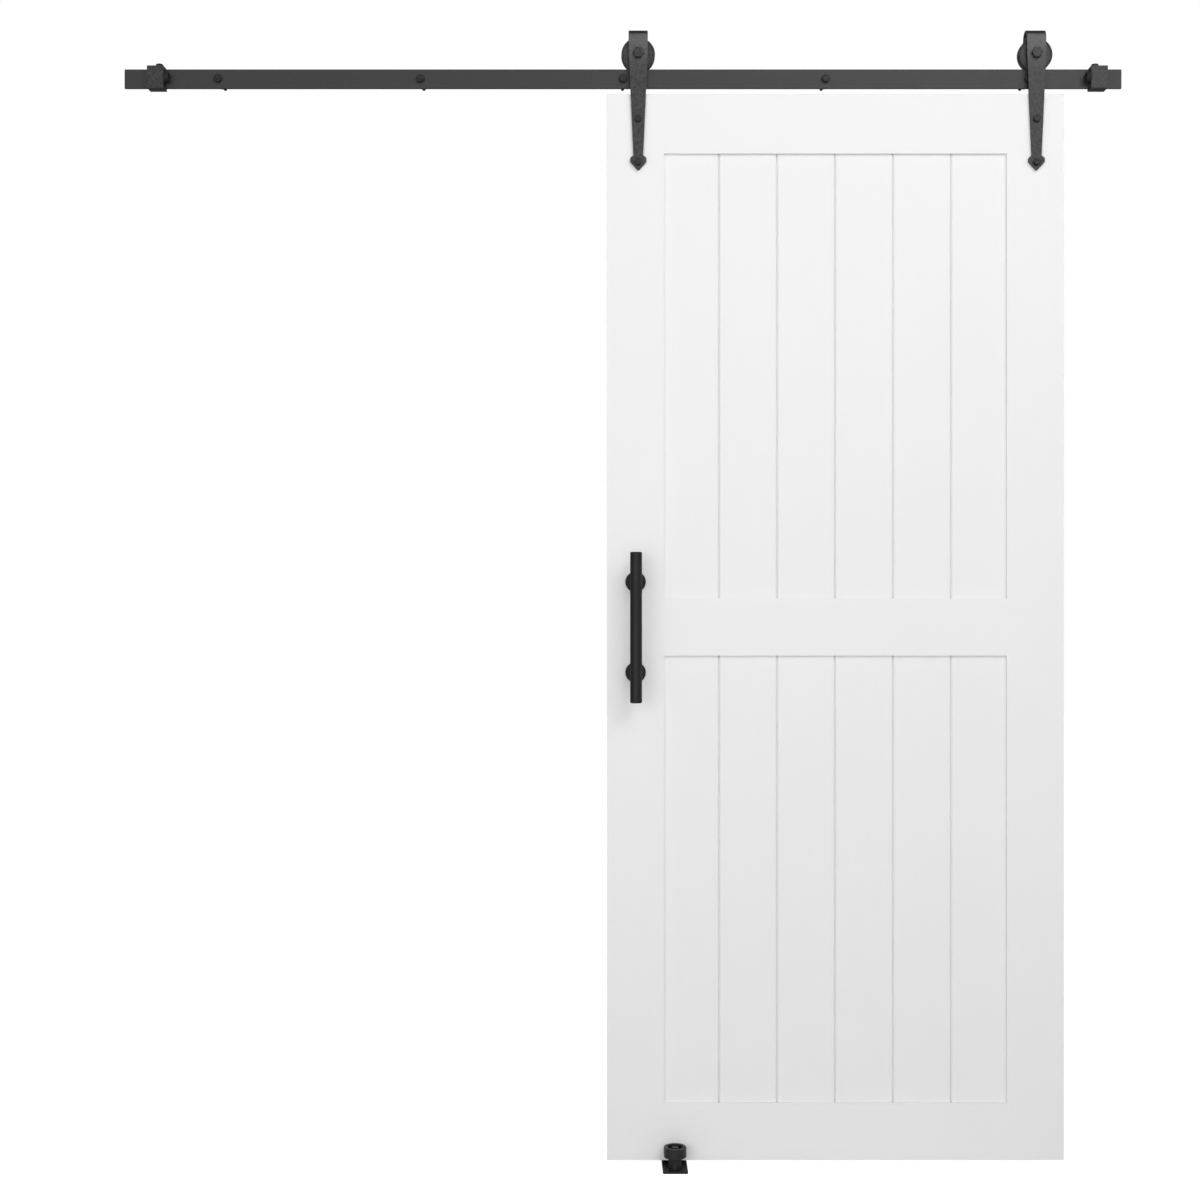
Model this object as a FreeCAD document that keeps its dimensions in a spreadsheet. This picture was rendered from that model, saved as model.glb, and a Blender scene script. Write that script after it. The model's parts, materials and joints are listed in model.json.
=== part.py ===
"""Sliding barn door with flat-rail hardware, as one parametric document.

Frame: X runs along the rail, Y points into the wall, Z is up. The origin lies on the wall's face, on
the axis of the rail's middle lag bolt. Everything in front of the wall has a negative Y. Millimetres.
"""

import FreeCAD, Part
import math
import os
import re
import Sketcher
from FreeCAD import Placement, Rotation, Vector

# Driving dimensions: name, value, what it measures.
DRIVING = (
    ("rail_length", 2000.0, "flat bar, end to end"),
    ("rail_height", 38.0, "flat bar, top edge to bottom edge"),
    ("rail_thick", 6.0, "flat bar"),
    ("lag_pitch", 406.4, "between neighbouring wall fixings, one stud bay"),
    ("spacer_length", 32.0, "wall face to the rail's back"),
    ("spacer_dia", 20.0, "rail spacer"),
    ("lag_dia", 8.0, "lag bolt shank"),
    ("lag_thread_dia", 7.4, "lag bolt thread inside the wall"),
    ("lag_bite", 38.0, "lag bolt length inside the wall"),
    ("lag_point", 8.0, "lag bolt's pointed end"),
    ("lag_flats", 13.0, "lag bolt head across flats"),
    ("lag_head", 5.0, "lag bolt head height"),
    ("lag_washer_dia", 18.0, "washer under the lag bolt head"),
    ("washer_thick", 1.6, "every flat washer"),
    ("bolt_play", 0.2, "radial clearance of a bolt in its hole"),
    ("seat_play", 0.1, "clearance of a fixed piece in its seat"),
    ("tread_dia", 57.0, "wheel where it runs on the rail"),
    ("flange_rise", 5.2, "wheel flange above the tread"),
    ("wheel_width", 20.0, "wheel across its flanges"),
    ("tread_width", 8.0, "flat bottom of the wheel's groove"),
    ("flange_slope", 1.2, "widening of the groove on each side at the flange's rim"),
    ("wheel_bevel", 1.2, "outer corners of the flanges"),
    ("bearing_dia", 32.0, "ball bearing outside diameter"),
    ("bearing_width", 10.0, "ball bearing"),
    ("bearing_lip", 2.5, "wheel shoulder in front of the bearing, radially"),
    ("race_wall", 3.0, "each bearing race, radially"),
    ("ball_dia", 5.7, "bearing ball"),
    ("ball_play", 0.15, "ball to raceway"),
    ("ball_count", 7, "balls in each bearing"),
    ("cage_thick", 1.6, "ball cage, radially"),
    ("axle_dia", 12.0, "hanger axle bolt"),
    ("axle_flats", 19.0, "axle bolt head and nut across flats"),
    ("axle_head", 7.5, "axle bolt head height"),
    ("axle_nut", 6.5, "axle nut height"),
    ("bush_wall", 2.4, "distance bush beside the bearing, radially"),
    ("strap_width", 38.0, "hanger strap at the wheel"),
    ("strap_thick", 6.0, "hanger strap"),
    ("wheel_side_play", 1.5, "wheel to each leg of the hanger"),
    ("bend_clear", 9.8, "wheel rim to the inside of the hanger's bend"),
    ("back_leg_drop", 21.0, "axle centre to the lower end of the hanger's back leg"),
    ("waist_width", 19.5, "hanger strap at the arrow's neck"),
    ("neck_drop", 124.0, "door top down to the arrow head's neck"),
    ("barb_width", 32.0, "arrow head across its barbs"),
    ("barb_drop", 5.0, "neck down to the upper corners of the barbs"),
    ("barb_height", 8.0, "straight side of each barb"),
    ("tip_drop", 153.0, "door top down to the arrow's tip"),
    ("tip_flat", 3.0, "blunt end of the arrow's tip"),
    ("upper_bolt_drop", 50.5, "door top down to the upper door bolt"),
    ("lower_bolt_drop", 137.0, "door top down to the lower door bolt"),
    ("door_bolt_dia", 8.0, "door bolt"),
    ("door_bolt_flats", 13.0, "door bolt head and nut across flats"),
    ("door_bolt_head", 5.3, "door bolt head height"),
    ("door_bolt_nut", 6.0, "door bolt nut height"),
    ("door_bolt_washer", 20.0, "washer behind the door"),
    ("bolt_end", 1.5, "bolt standing out of its nut"),
    ("door_width", 914.4, "door panel"),
    ("door_height", 2133.6, "door panel"),
    ("door_thick", 35.0, "door panel"),
    ("closed_run", 98.6, "right hanger to the right bumper's face, door closed"),
    ("door_gap", 14.0, "rail bottom to door top"),
    ("floor_gap", 12.0, "door bottom to floor"),
    ("left_hanger_inset", 62.5, "door's left edge to the left hanger's centre"),
    ("right_hanger_inset", 55.8, "door's right edge to the right hanger's centre"),
    ("stile_width", 114.3, "each upright of the door's frame"),
    ("top_height", 119.0, "top cross rail of the door's frame"),
    ("cross_height", 114.3, "middle and bottom cross rails"),
    ("recess", 6.0, "door front to the boards' faces"),
    ("board_thick", 22.0, "tongue and groove board"),
    ("board_count", 6, "boards in each field"),
    ("board_hold", 6.0, "board's edge inside the frame's groove"),
    ("frame_groove", 8.0, "depth of the groove in the frame's inner edges"),
    ("stub_length", 7.5, "stub tenon at each end of a cross rail"),
    ("board_vee", 2.5, "bevel on each board's front edge, across the board"),
    ("vee_depth", 4.0, "the same bevel, into the board"),
    ("tongue_thick", 7.0, "tongue between two boards"),
    ("tongue_length", 6.0, "tongue between two boards"),
    ("dowel_dia", 10.0, "dowel between stile and cross rail"),
    ("dowel_length", 80.0, "dowel"),
    ("dowel_spread", 54.0, "between the two dowels of one joint"),
    ("handle_dia", 23.5, "pull bar"),
    ("handle_length", 298.0, "pull bar"),
    ("handle_bevel", 1.5, "bevel at the pull bar's ends"),
    ("handle_reach", 50.0, "door front to the pull bar's axis"),
    ("post_dia", 18.0, "pull bar post"),
    ("post_spread", 181.0, "between the two posts"),
    ("handle_flange_dia", 41.0, "round flange at the foot of a post"),
    ("handle_flange_thick", 5.0, "round flange"),
    ("handle_bevel_flange", 1.0, "bevel round a flange"),
    ("handle_bolt_dia", 6.0, "bolt through the door into a post"),
    ("handle_bolt_flats", 10.0, "its head across flats"),
    ("handle_bolt_head", 4.0, "its head height"),
    ("handle_bolt_grip", 15.0, "its thread inside the post"),
    ("handle_washer_dia", 18.0, "washer behind the door"),
    ("stop_width", 33.0, "end stop along the rail"),
    ("stop_over", 3.0, "end stop above the rail"),
    ("stop_under", 3.5, "end stop below the rail"),
    ("stop_front", 16.0, "end stop in front of the rail"),
    ("stop_back", 6.0, "end stop behind the rail"),
    ("left_stop_inset", 49.0, "rail's left end to the left end stop"),
    ("right_stop_inset", 32.0, "rail's right end to the right end stop"),
    ("bumper_dia", 21.0, "rubber bumper"),
    ("bumper_length", 10.0, "rubber bumper"),
    ("bumper_play", 0.4, "rubber bumper to the rail's front"),
    ("bumper_bevel", 1.5, "bumper's front corner"),
    ("bumper_screw_dia", 5.0, "screw through the bumper"),
    ("bumper_screw_head", 9.0, "its head diameter"),
    ("bumper_screw_sink", 6.0, "bumper face to the top of the screw's head"),
    ("bumper_screw_grip", 16.0, "its thread inside the end stop"),
    ("clamp_screw_dia", 8.0, "clamp screw in the end stop's top"),
    ("clamp_screw_flats", 13.0, "its head across flats"),
    ("clamp_screw_head", 5.5, "its head height"),
    ("clamp_screw_out", 2.5, "end stop's top to its head"),
    ("clamp_screw_shift", 4.0, "end stop's middle to its clamp screw, towards the bumper"),
    ("guide_inset", 135.2, "door's left edge to the floor guide's centre, door closed"),
    ("guide_width", 50.0, "floor plate along the wall"),
    ("guide_thick", 4.0, "floor plate and its upright"),
    ("guide_front", 46.0, "door front to the floor plate's front edge"),
    ("guide_upright", 45.0, "floor to the top of the upright behind the door"),
    ("guide_bevel", 2.0, "floor plate's corners"),
    ("roller_dia", 45.0, "guide roller"),
    ("roller_height", 20.0, "guide roller"),
    ("roller_base", 27.0, "floor to the roller's underside"),
    ("roller_play", 0.8, "door front to the roller"),
    ("roller_cup_dia", 31.0, "recess in the roller's top"),
    ("roller_cup_depth", 8.0, "recess in the roller's top"),
    ("roller_bevel", 1.0, "roller's rims"),
    ("roller_lift", 0.3, "washers to the roller, each end"),
    ("guide_boss_dia", 26.0, "spacer under the roller"),
    ("guide_axle_dia", 8.0, "roller's axle screw"),
    ("running_play", 0.05, "radial running clearance"),
    ("guide_axle_flats", 13.0, "its head across flats"),
    ("guide_axle_head", 5.0, "its head height"),
    ("guide_washer_dia", 17.0, "washer under its head"),
    ("axle_tip_dia", 6.0, "threaded tip of the axle screw in the floor"),
    ("axle_tip_length", 16.0, "threaded tip below the floor"),
    ("point_flat", 1.0, "blunt end of every pointed screw"),
    ("pad_thick", 3.5, "glide pad behind the door"),
    ("pad_play", 1.0, "glide pad to the door's back"),
    ("pad_height", 24.0, "glide pad"),
    ("pad_screw_dia", 3.0, "glide pad screw"),
    ("pad_screw_spread", 26.0, "between the glide pad's screws"),
    ("floor_screw_dia", 5.0, "floor screw"),
    ("floor_screw_head", 9.0, "floor screw's countersunk head"),
    ("floor_thread_dia", 4.4, "floor screw thread below the floor plate"),
    ("floor_screw_bite", 30.0, "floor screw below the floor plate"),
    ("floor_point", 5.0, "floor screw's pointed end"),
    ("floor_screw_spread", 28.0, "between the two floor screws"),
    ("screw_head", 2.0, "height of a small screw's head"),
)

# Places worked out from the driving dimensions: name, formula.
PLACES = (
    ("rail_top", "rail_height / 2"),
    ("rail_back", "-spacer_length"),
    ("rail_front", "-(spacer_length + rail_thick)"),
    ("rail_middle", "-(spacer_length + rail_thick / 2)"),
    ("axle_level", "rail_height / 2 + tread_dia / 2"),
    ("strap_gap", "wheel_width + 2 * wheel_side_play"),
    ("bend_level", "axle_level + tread_dia / 2 + flange_rise + bend_clear - strap_gap / 2"),
    ("strap_back", "rail_middle - strap_gap / 2"),
    ("strap_front", "strap_back - strap_thick"),
    ("rear_leg_back", "rail_middle + strap_gap / 2 + strap_thick"),
    ("door_front", "strap_back"),
    ("door_back", "strap_back + door_thick"),
    ("door_top", "-(rail_height / 2 + door_gap)"),
    ("door_bottom", "door_top - door_height"),
    ("floor_level", "door_bottom - floor_gap"),
    ("left_stop", "-(rail_length / 2 - left_stop_inset - stop_width / 2)"),
    ("right_stop", "rail_length / 2 - right_stop_inset - stop_width / 2"),
    ("right_hanger", "right_stop - stop_width / 2 - bumper_length - closed_run"),
    ("door_right", "right_hanger + right_hanger_inset"),
    ("door_left", "door_right - door_width"),
    ("left_hanger", "door_left + left_hanger_inset"),
    ("door_rest", "door_left + door_width / 2"),
    ("guide_place", "door_left + guide_inset"),
    ("door_middle", "door_top - door_height / 2"),
    ("field_width", "door_width - 2 * stile_width"),
    ("lower_field", "(door_height - 3 * cross_height) / 2"),
    ("upper_field", "lower_field + cross_height - top_height"),
    ("board_pitch", "(field_width + 2 * board_hold) / board_count"),
    ("ball_ring", "(axle_dia + bearing_dia) / 4"),
    ("bush_length", "(strap_gap - bearing_width) / 2"),
    ("groove_width", "board_thick + 2 * seat_play"),
    ("handle_centre", "door_left + stile_width / 2"),
    ("bar_middle", "door_front - handle_reach"),
    ("flange_front", "door_front - handle_flange_thick"),
    ("bumper_middle", "rail_front - bumper_play - bumper_dia / 2"),
    ("roller_middle", "door_front - roller_play - roller_dia / 2"),
    ("pad_front", "door_back + pad_play"),
    ("upright_front", "door_back + pad_play + pad_thick"),
    ("plate_top", "floor_level + guide_thick"),
)

doc = FreeCAD.newDocument("SlidingBarnDoor")


def write_sheet(name, rows):
    """A spreadsheet with one row for each named value."""
    sheet = doc.addObject("Spreadsheet::Sheet", name)
    for line, row in enumerate(rows, start=1):
        sheet.set(f"A{line}", row[0])
        sheet.set(f"B{line}", row[1])
        sheet.set(f"C{line}", row[2])
        sheet.setAlias(f"B{line}", row[0])
    doc.recompute()
    return sheet


def rule(text):
    """The expression for a formula in plain names: each name gets its sheet's name in front."""
    return re.sub(r"[a-z_]{2,}", lambda word: OWNER.get(word[0], "") + word[0], text)


def value(text):
    """What a formula comes to now, as a number."""
    return float(sizes.evalExpression(rule(text)))


OWNER = {row[0]: "Sizes." for row in DRIVING}
sizes = write_sheet("Sizes", [(name, str(number), note) for name, number, note in DRIVING])
OWNER.update({name: "Places." for name, _ in PLACES})
places = write_sheet("Places", [(name, "=" + rule(text), text) for name, text in PLACES])

TURNED = {
    "X": Rotation(Vector(0, 1, 0), 90),
    "Y": Rotation(Vector(1, 0, 0), -90),
    "-Y": Rotation(Vector(1, 0, 0), 90),
    "Z": Rotation(),
}
nodes = []


def bind(item, **formulas):
    """Bind an object's properties to formulas."""
    for name, text in formulas.items():
        item.setExpression(name, rule(text))


def move(item, x="0", y="0", z="0"):
    """Bind an object's position to formulas."""
    for letter, text in zip("xyz", (x, y, z)):
        item.setExpression(f"Placement.Base.{letter}", rule(text))
    return item


def keep(item, label):
    """Mark an object as a finished piece, which is exported under this label."""
    item.Label = label
    nodes.append(item)
    return item


# Part primitives and booleans ------------------------------------------------------------------


def cylinder(name, dia, length, x="0", y="0", z="0", axis="Z"):
    item = doc.addObject("Part::Cylinder", name)
    item.Placement = Placement(Vector(), TURNED[axis])
    bind(item, Radius=f"({dia}) / 2", Height=length)
    return move(item, x, y, z)


def hexagon(name, flats, length, x="0", y="0", z="0", axis="Z"):
    item = doc.addObject("Part::Prism", name)
    item.Polygon = 6
    item.Placement = Placement(Vector(), TURNED[axis])
    bind(item, Circumradius=f"({flats}) / sqrt(3)", Height=length)
    return move(item, x, y, z)


def cone(name, start_dia, end_dia, length, x="0", y="0", z="0", axis="Z"):
    item = doc.addObject("Part::Cone", name)
    item.Placement = Placement(Vector(), TURNED[axis])
    bind(item, Radius1=f"({start_dia}) / 2", Radius2=f"({end_dia}) / 2", Height=length)
    return move(item, x, y, z)


def fuse(name, *items):
    item = doc.addObject("Part::MultiFuse", name)
    item.Shapes = list(items)
    return item


def cut(name, base, *tools):
    item = doc.addObject("Part::Cut", name)
    item.Base = base
    item.Tool = tools[0] if len(tools) == 1 else fuse(name + "_tools", *tools)
    return item


def group(label, items):
    """Separate solids that share one node."""
    item = doc.addObject("Part::Compound", label)
    item.Links = list(items)
    return keep(item, label)


def ring(name, outer, inner, length, x="0", y="0", z="0", axis="Z"):
    """A washer, bush or spacer."""
    whole = cylinder(name + "_outside", outer, length, x, y, z, axis)
    return cut(name, whole, cylinder(name + "_bore", inner, length, x, y, z, axis))


# Sketches and PartDesign features --------------------------------------------------------------


def new_body(label, x="0", y="0", z="0"):
    body = doc.addObject("PartDesign::Body", label)
    move(body, x, y, z)
    return keep(body, label)


def sketch(body, name, plane, offset="0"):
    """A sketch on one of the body's own planes. The offset runs along the plane's normal."""
    item = body.newObject("Sketcher::SketchObject", f"{body.Name}_{name}")
    origin = [part for part in body.Origin.OriginFeatures if part.Role == plane]
    item.AttachmentSupport = [(origin[0], "")]
    item.MapMode = "FlatFace"
    item.setExpression("AttachmentOffset.Base.z", rule(offset))
    return item


def pin(item, edge, end, x, y):
    """Hold one point of a sketch at a place given by two formulas."""
    for kind, text in (("DistanceX", x), ("DistanceY", y)):
        number = item.addConstraint(Sketcher.Constraint(kind, -1, 1, edge, end, value(text)))
        item.setExpression(f"Constraints[{number}]", rule(text))


def polygon(item, corners):
    """A closed outline of straight edges."""
    spots = [Vector(value(x), value(y), 0) for x, y in corners]
    first = item.GeometryCount
    count = len(corners)
    for turn in range(count):
        item.addGeometry(Part.LineSegment(spots[turn], spots[(turn + 1) % count]))
    for turn in range(count):
        item.addConstraint(Sketcher.Constraint("Coincident", first + turn, 2, first + (turn + 1) % count, 1))
    for turn, (x, y) in enumerate(corners):
        pin(item, first + turn, 1, x, y)


def rectangle(item, left, right, low, high):
    polygon(item, ((left, low), (right, low), (right, high), (left, high)))


def circle(item, x, y, dia):
    number = item.addGeometry(Part.Circle(Vector(value(x), value(y), 0), Vector(0, 0, 1), value(dia) / 2))
    pin(item, number, 3, x, y)
    size = item.addConstraint(Sketcher.Constraint("Diameter", number, value(dia)))
    item.setExpression(f"Constraints[{size}]", rule(dia))


def feature(body, kind, profile, **formulas):
    item = body.newObject(f"PartDesign::{kind}", profile.Name + "_" + kind.lower())
    item.Profile = profile
    bind(item, **formulas)
    profile.Visibility = False
    return item


def pad(body, profile, length, reverse=False):
    item = feature(body, "Pad", profile, Length=length)
    item.Reversed = reverse
    return item


def pocket(body, profile, length, reverse=False):
    item = feature(body, "Pocket", profile, Length=length)
    item.Reversed = reverse
    return item


def revolve(body, profile, axis, kind="Revolution"):
    item = feature(body, kind, profile)
    item.ReferenceAxis = (profile, [axis])
    item.Angle = 360
    return item


# The rail and its fixings ----------------------------------------------------------------------

LAG_PLACES = [f"{number} * lag_pitch" for number in (-2, -1, 0, 1, 2)]


def rail():
    body = new_body("rail", y="rail_front")
    bar = sketch(body, "bar", "XZ_Plane")
    rectangle(bar, "-rail_length / 2", "rail_length / 2", "-rail_top", "rail_top")
    pad(body, bar, "rail_thick", reverse=True)
    holes = sketch(body, "holes", "XZ_Plane")
    for place in LAG_PLACES:
        circle(holes, place, "0", "lag_dia + 2 * bolt_play")
    pocket(body, holes, "rail_thick")


def lag_bolt(name, place):
    """Hex lag bolt: head in front of the rail, shank through the spacer, pointed thread in the wall."""
    seat = "rail_front - washer_thick"
    straight = "lag_bite - lag_point"
    head = hexagon(name + "_head", "lag_flats", "lag_head", place, seat, axis="-Y")
    shank = cylinder(name + "_shank", "lag_dia", f"-({seat})", place, seat, axis="Y")
    thread = cylinder(name + "_thread", "lag_thread_dia", straight, place, axis="Y")
    point = cone(name + "_point", "lag_thread_dia", "point_flat", "lag_point", place, straight, axis="Y")
    return fuse(name, head, shank, thread, point)


def rail_fixings():
    bore = "lag_dia + 2 * bolt_play"
    spacers = []
    washers = []
    bolts = []
    for number, place in enumerate(LAG_PLACES):
        spacers.append(
            ring(f"spacer_{number}", "spacer_dia", bore, "spacer_length", place, "rail_back", axis="Y")
        )
        washers.append(
            ring(
                f"lag_washer_{number}", "lag_washer_dia", bore, "washer_thick", place, "rail_front", axis="-Y"
            )
        )
        bolts.append(lag_bolt(f"lag_bolt_{number}", place))
    group("rail_spacers", spacers)
    group("lag_washers", washers)
    group("lag_bolts", bolts)


# The end stops ---------------------------------------------------------------------------------


def stop_block(side, place, inward):
    """Block round the rail, thick enough in front to carry the bumper on its inner side."""
    body = new_body(f"{side}_stop_block", x=place)
    profile = sketch(body, "block", "YZ_Plane", "-stop_width / 2")
    low = "-(rail_top + stop_under)"
    high = "rail_top + stop_over"
    rectangle(profile, "rail_front - stop_front", "rail_back + stop_back", low, high)
    pad(body, profile, "stop_width")
    slot = sketch(body, "slot", "YZ_Plane", "stop_width / 2")
    rectangle(
        slot,
        "rail_front - seat_play",
        "rail_back + seat_play",
        "-(rail_top + seat_play)",
        "rail_top + seat_play",
    )
    pocket(body, slot, "stop_width")
    thread = sketch(body, "bumper_thread", "YZ_Plane", f"{inward} * stop_width / 2")
    circle(thread, "bumper_middle", "0", "bumper_screw_dia")
    pocket(body, thread, "bumper_screw_grip + 1", reverse=inward < 0)
    clamp_thread = sketch(body, "clamp_thread", "XY_Plane", high)
    circle(clamp_thread, f"{inward} * clamp_screw_shift", "rail_middle", "clamp_screw_dia")
    pocket(body, clamp_thread, "stop_over")


def stop_bumper(side, place, inward):
    """Rubber bumper with a sunk hole for its screw, on the inner side of its end stop."""
    body = new_body(f"{side}_stop_bumper", f"{place} + {inward} * stop_width / 2", "bumper_middle")
    profile = sketch(body, "section", "XZ_Plane")
    radius = "bumper_dia / 2"
    ledge = f"{inward} * (bumper_length - bumper_screw_sink)"
    polygon(
        profile,
        (
            ("0", "bumper_screw_dia / 2"),
            ("0", radius),
            (f"{inward} * (bumper_length - bumper_bevel)", radius),
            (f"{inward} * bumper_length", f"{radius} - bumper_bevel"),
            (f"{inward} * bumper_length", "bumper_screw_head / 2"),
            (ledge, "bumper_screw_head / 2"),
            (ledge, "bumper_screw_dia / 2"),
        ),
    )
    revolve(body, profile, "H_Axis")


def bumper_screw(side, place, inward):
    """Pan head screw from the bumper's sunk hole into the end stop."""
    face = f"{place} + {inward} * (stop_width / 2 + bumper_length - bumper_screw_sink)"
    inner_end = f"{place} + {inward} * (stop_width / 2 - bumper_screw_grip)"
    length = "bumper_length - bumper_screw_sink + bumper_screw_grip"
    start = inner_end if inward > 0 else face
    head_start = face if inward > 0 else f"{face} - screw_head"
    shank = cylinder(f"{side}_bumper_shank", "bumper_screw_dia", length, start, "bumper_middle", axis="X")
    head = cylinder(
        f"{side}_bumper_head",
        "bumper_screw_head - 4 * seat_play",
        "screw_head",
        head_start,
        "bumper_middle",
        axis="X",
    )
    return fuse(f"{side}_bumper_screw", shank, head)


def clamp_screw(side, place, inward):
    """Hex head screw from above, its tip on the rail's top edge."""
    spot = f"{place} + {inward} * clamp_screw_shift"
    shank = cylinder(
        f"{side}_clamp_shank", "clamp_screw_dia", "stop_over + clamp_screw_out", spot, "rail_middle", "rail_top"
    )
    head = hexagon(
        f"{side}_clamp_head",
        "clamp_screw_flats",
        "clamp_screw_head",
        spot,
        "rail_middle",
        "rail_top + stop_over + clamp_screw_out",
    )
    return fuse(f"{side}_clamp_screw", shank, head)


def end_stops():
    ends = (("left", "left_stop", 1), ("right", "right_stop", -1))
    for side, place, inward in ends:
        stop_block(side, place, inward)
        stop_bumper(side, place, inward)
    group("bumper_screws", [bumper_screw(*end) for end in ends])
    group("stop_clamp_screws", [clamp_screw(*end) for end in ends])


# The hangers: strap, wheel, ball bearing, axle -------------------------------------------------

HANGERS = (("left", "left_hanger"), ("right", "right_hanger"))


def strap(side, place):
    """Flat strap folded over the wheel: a long front leg that ends in an arrow, a bend, a short back leg."""
    body = new_body(f"{side}_strap", x=place)
    half = "strap_width / 2"
    waist = "waist_width / 2"
    barb = "barb_width / 2"
    right_side = (
        (half, "bend_level"),
        (half, "axle_level"),
        (waist, "door_top - neck_drop"),
        (barb, "door_top - neck_drop - barb_drop"),
        (barb, "door_top - neck_drop - barb_drop - barb_height"),
        ("tip_flat / 2", "door_top - tip_drop"),
    )
    left_side = tuple((f"-{x}", z) for x, z in reversed(right_side))
    front = sketch(body, "front_leg", "XZ_Plane", "-strap_front")
    polygon(front, right_side + left_side)
    pad(body, front, "strap_thick", reverse=True)

    section = sketch(body, "bend", "XY_Plane", "bend_level")
    rectangle(section, f"-{half}", half, "strap_front", "strap_back")
    axis = section.addGeometry(
        Part.LineSegment(Vector(-50, value("rail_middle"), 0), Vector(50, value("rail_middle"), 0)), True
    )
    pin(section, axis, 1, "-50", "rail_middle")
    pin(section, axis, 2, "50", "rail_middle")
    bend = feature(body, "Revolution", section)
    bend.ReferenceAxis = (section, ["Axis0"])
    bend.Angle = 180
    bend.Reversed = True

    rear = sketch(body, "back_leg", "XZ_Plane", "-rear_leg_back")
    rectangle(rear, f"-{half}", half, "axle_level - back_leg_drop", "bend_level")
    pad(body, rear, "strap_thick")

    axle_hole = sketch(body, "axle_hole", "XZ_Plane", "-strap_front")
    circle(axle_hole, "0", "axle_level", "axle_dia + 2 * bolt_play")
    pocket(body, axle_hole, "strap_gap + 2 * strap_thick")
    door_holes = sketch(body, "door_holes", "XZ_Plane", "-strap_front")
    for drop in ("upper_bolt_drop", "lower_bolt_drop"):
        circle(door_holes, "0", f"door_top - {drop}", "door_bolt_dia + 2 * bolt_play")
    pocket(body, door_holes, "strap_thick")


def wheel(side, place):
    """Grooved wheel: flat tread between two flanges, a bearing seat with a shoulder at the front."""
    body = new_body(f"{side}_wheel", place, "rail_middle", "axle_level")
    profile = sketch(body, "section", "YZ_Plane")
    rim = "tread_dia / 2 + flange_rise"
    half = "wheel_width / 2"
    seat = "bearing_dia / 2"
    polygon(
        profile,
        (
            (f"-{half}", f"{seat} - bearing_lip"),
            (f"-{half}", f"{rim} - wheel_bevel"),
            (f"-{half} + wheel_bevel", rim),
            ("-tread_width / 2 - flange_slope", rim),
            ("-tread_width / 2", "tread_dia / 2"),
            ("tread_width / 2", "tread_dia / 2"),
            ("tread_width / 2 + flange_slope", rim),
            (f"{half} - wheel_bevel", rim),
            (half, f"{rim} - wheel_bevel"),
            (half, seat),
            ("-bearing_width / 2", seat),
            ("-bearing_width / 2", f"{seat} - bearing_lip"),
        ),
    )
    revolve(body, profile, "H_Axis")


def race(label, place, inner, outer):
    """One race of a ball bearing, with its round raceway."""
    body = new_body(label, place, "rail_middle", "axle_level")
    profile = sketch(body, "section", "YZ_Plane")
    rectangle(profile, "-bearing_width / 2", "bearing_width / 2", inner, outer)
    revolve(body, profile, "H_Axis")
    raceway = sketch(body, "raceway", "YZ_Plane")
    circle(raceway, "0", "ball_ring", "ball_dia + 2 * ball_play")
    revolve(body, raceway, "H_Axis", kind="Groove")


def ball_places():
    """Position of each ball round the axle, as formulas for X and Z."""
    step = 360 / value("ball_count")
    angles = [step * number for number in range(int(value("ball_count")))]
    return [(f"ball_ring * sin({angle:.6f} deg)", f"ball_ring * cos({angle:.6f} deg)") for angle in angles]


def spheres(name, dia, place):
    items = []
    for number, (x, z) in enumerate(ball_places()):
        item = doc.addObject("Part::Sphere", f"{name}_{number}")
        bind(item, Radius=f"({dia}) / 2")
        items.append(move(item, f"{place} + {x}", "rail_middle", f"axle_level + {z}"))
    return items


def cage(side, place):
    """Ring that keeps the balls apart."""
    width = "ball_dia + 2 * cage_thick"
    band = ring(
        f"{side}_cage_band",
        "2 * ball_ring + cage_thick",
        "2 * ball_ring - cage_thick",
        width,
        place,
        f"rail_middle - ({width}) / 2",
        "axle_level",
        axis="Y",
    )
    holes = spheres(f"{side}_cage_hole", "ball_dia + 2 * ball_play", place)
    keep(cut(f"{side}_bearing_cage", band, *holes), f"{side}_bearing_cage")


def axle_bolt(side, place):
    """Hex bolt from the front of the strap to the nut behind its back leg."""
    reach = "rear_leg_back + axle_nut + bolt_end - strap_front"
    shank = cylinder(
        f"{side}_axle_shank", "axle_dia - 2 * running_play", reach, place, "strap_front", "axle_level", "Y"
    )
    head = hexagon(f"{side}_axle_head", "axle_flats", "axle_head", place, "strap_front", "axle_level", "-Y")
    keep(fuse(f"{side}_axle_bolt", shank, head), f"{side}_axle_bolt")


def axle_nut(side, place):
    blank = hexagon(
        f"{side}_axle_nut_blank", "axle_flats", "axle_nut", place, "rear_leg_back", "axle_level", "Y"
    )
    thread = cylinder(
        f"{side}_axle_nut_thread", "axle_dia", "axle_nut", place, "rear_leg_back", "axle_level", "Y"
    )
    return cut(f"{side}_axle_nut", blank, thread)


def axle_bushes(side, place):
    """Distance bushes between the strap's legs and the bearing's inner race."""
    starts = {"front": "strap_back", "back": "rail_middle + bearing_width / 2"}
    return [
        ring(
            f"{side}_{end}_bush",
            "axle_dia + 2 * bush_wall",
            "axle_dia",
            "bush_length",
            place,
            start,
            "axle_level",
            axis="Y",
        )
        for end, start in starts.items()
    ]


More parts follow.
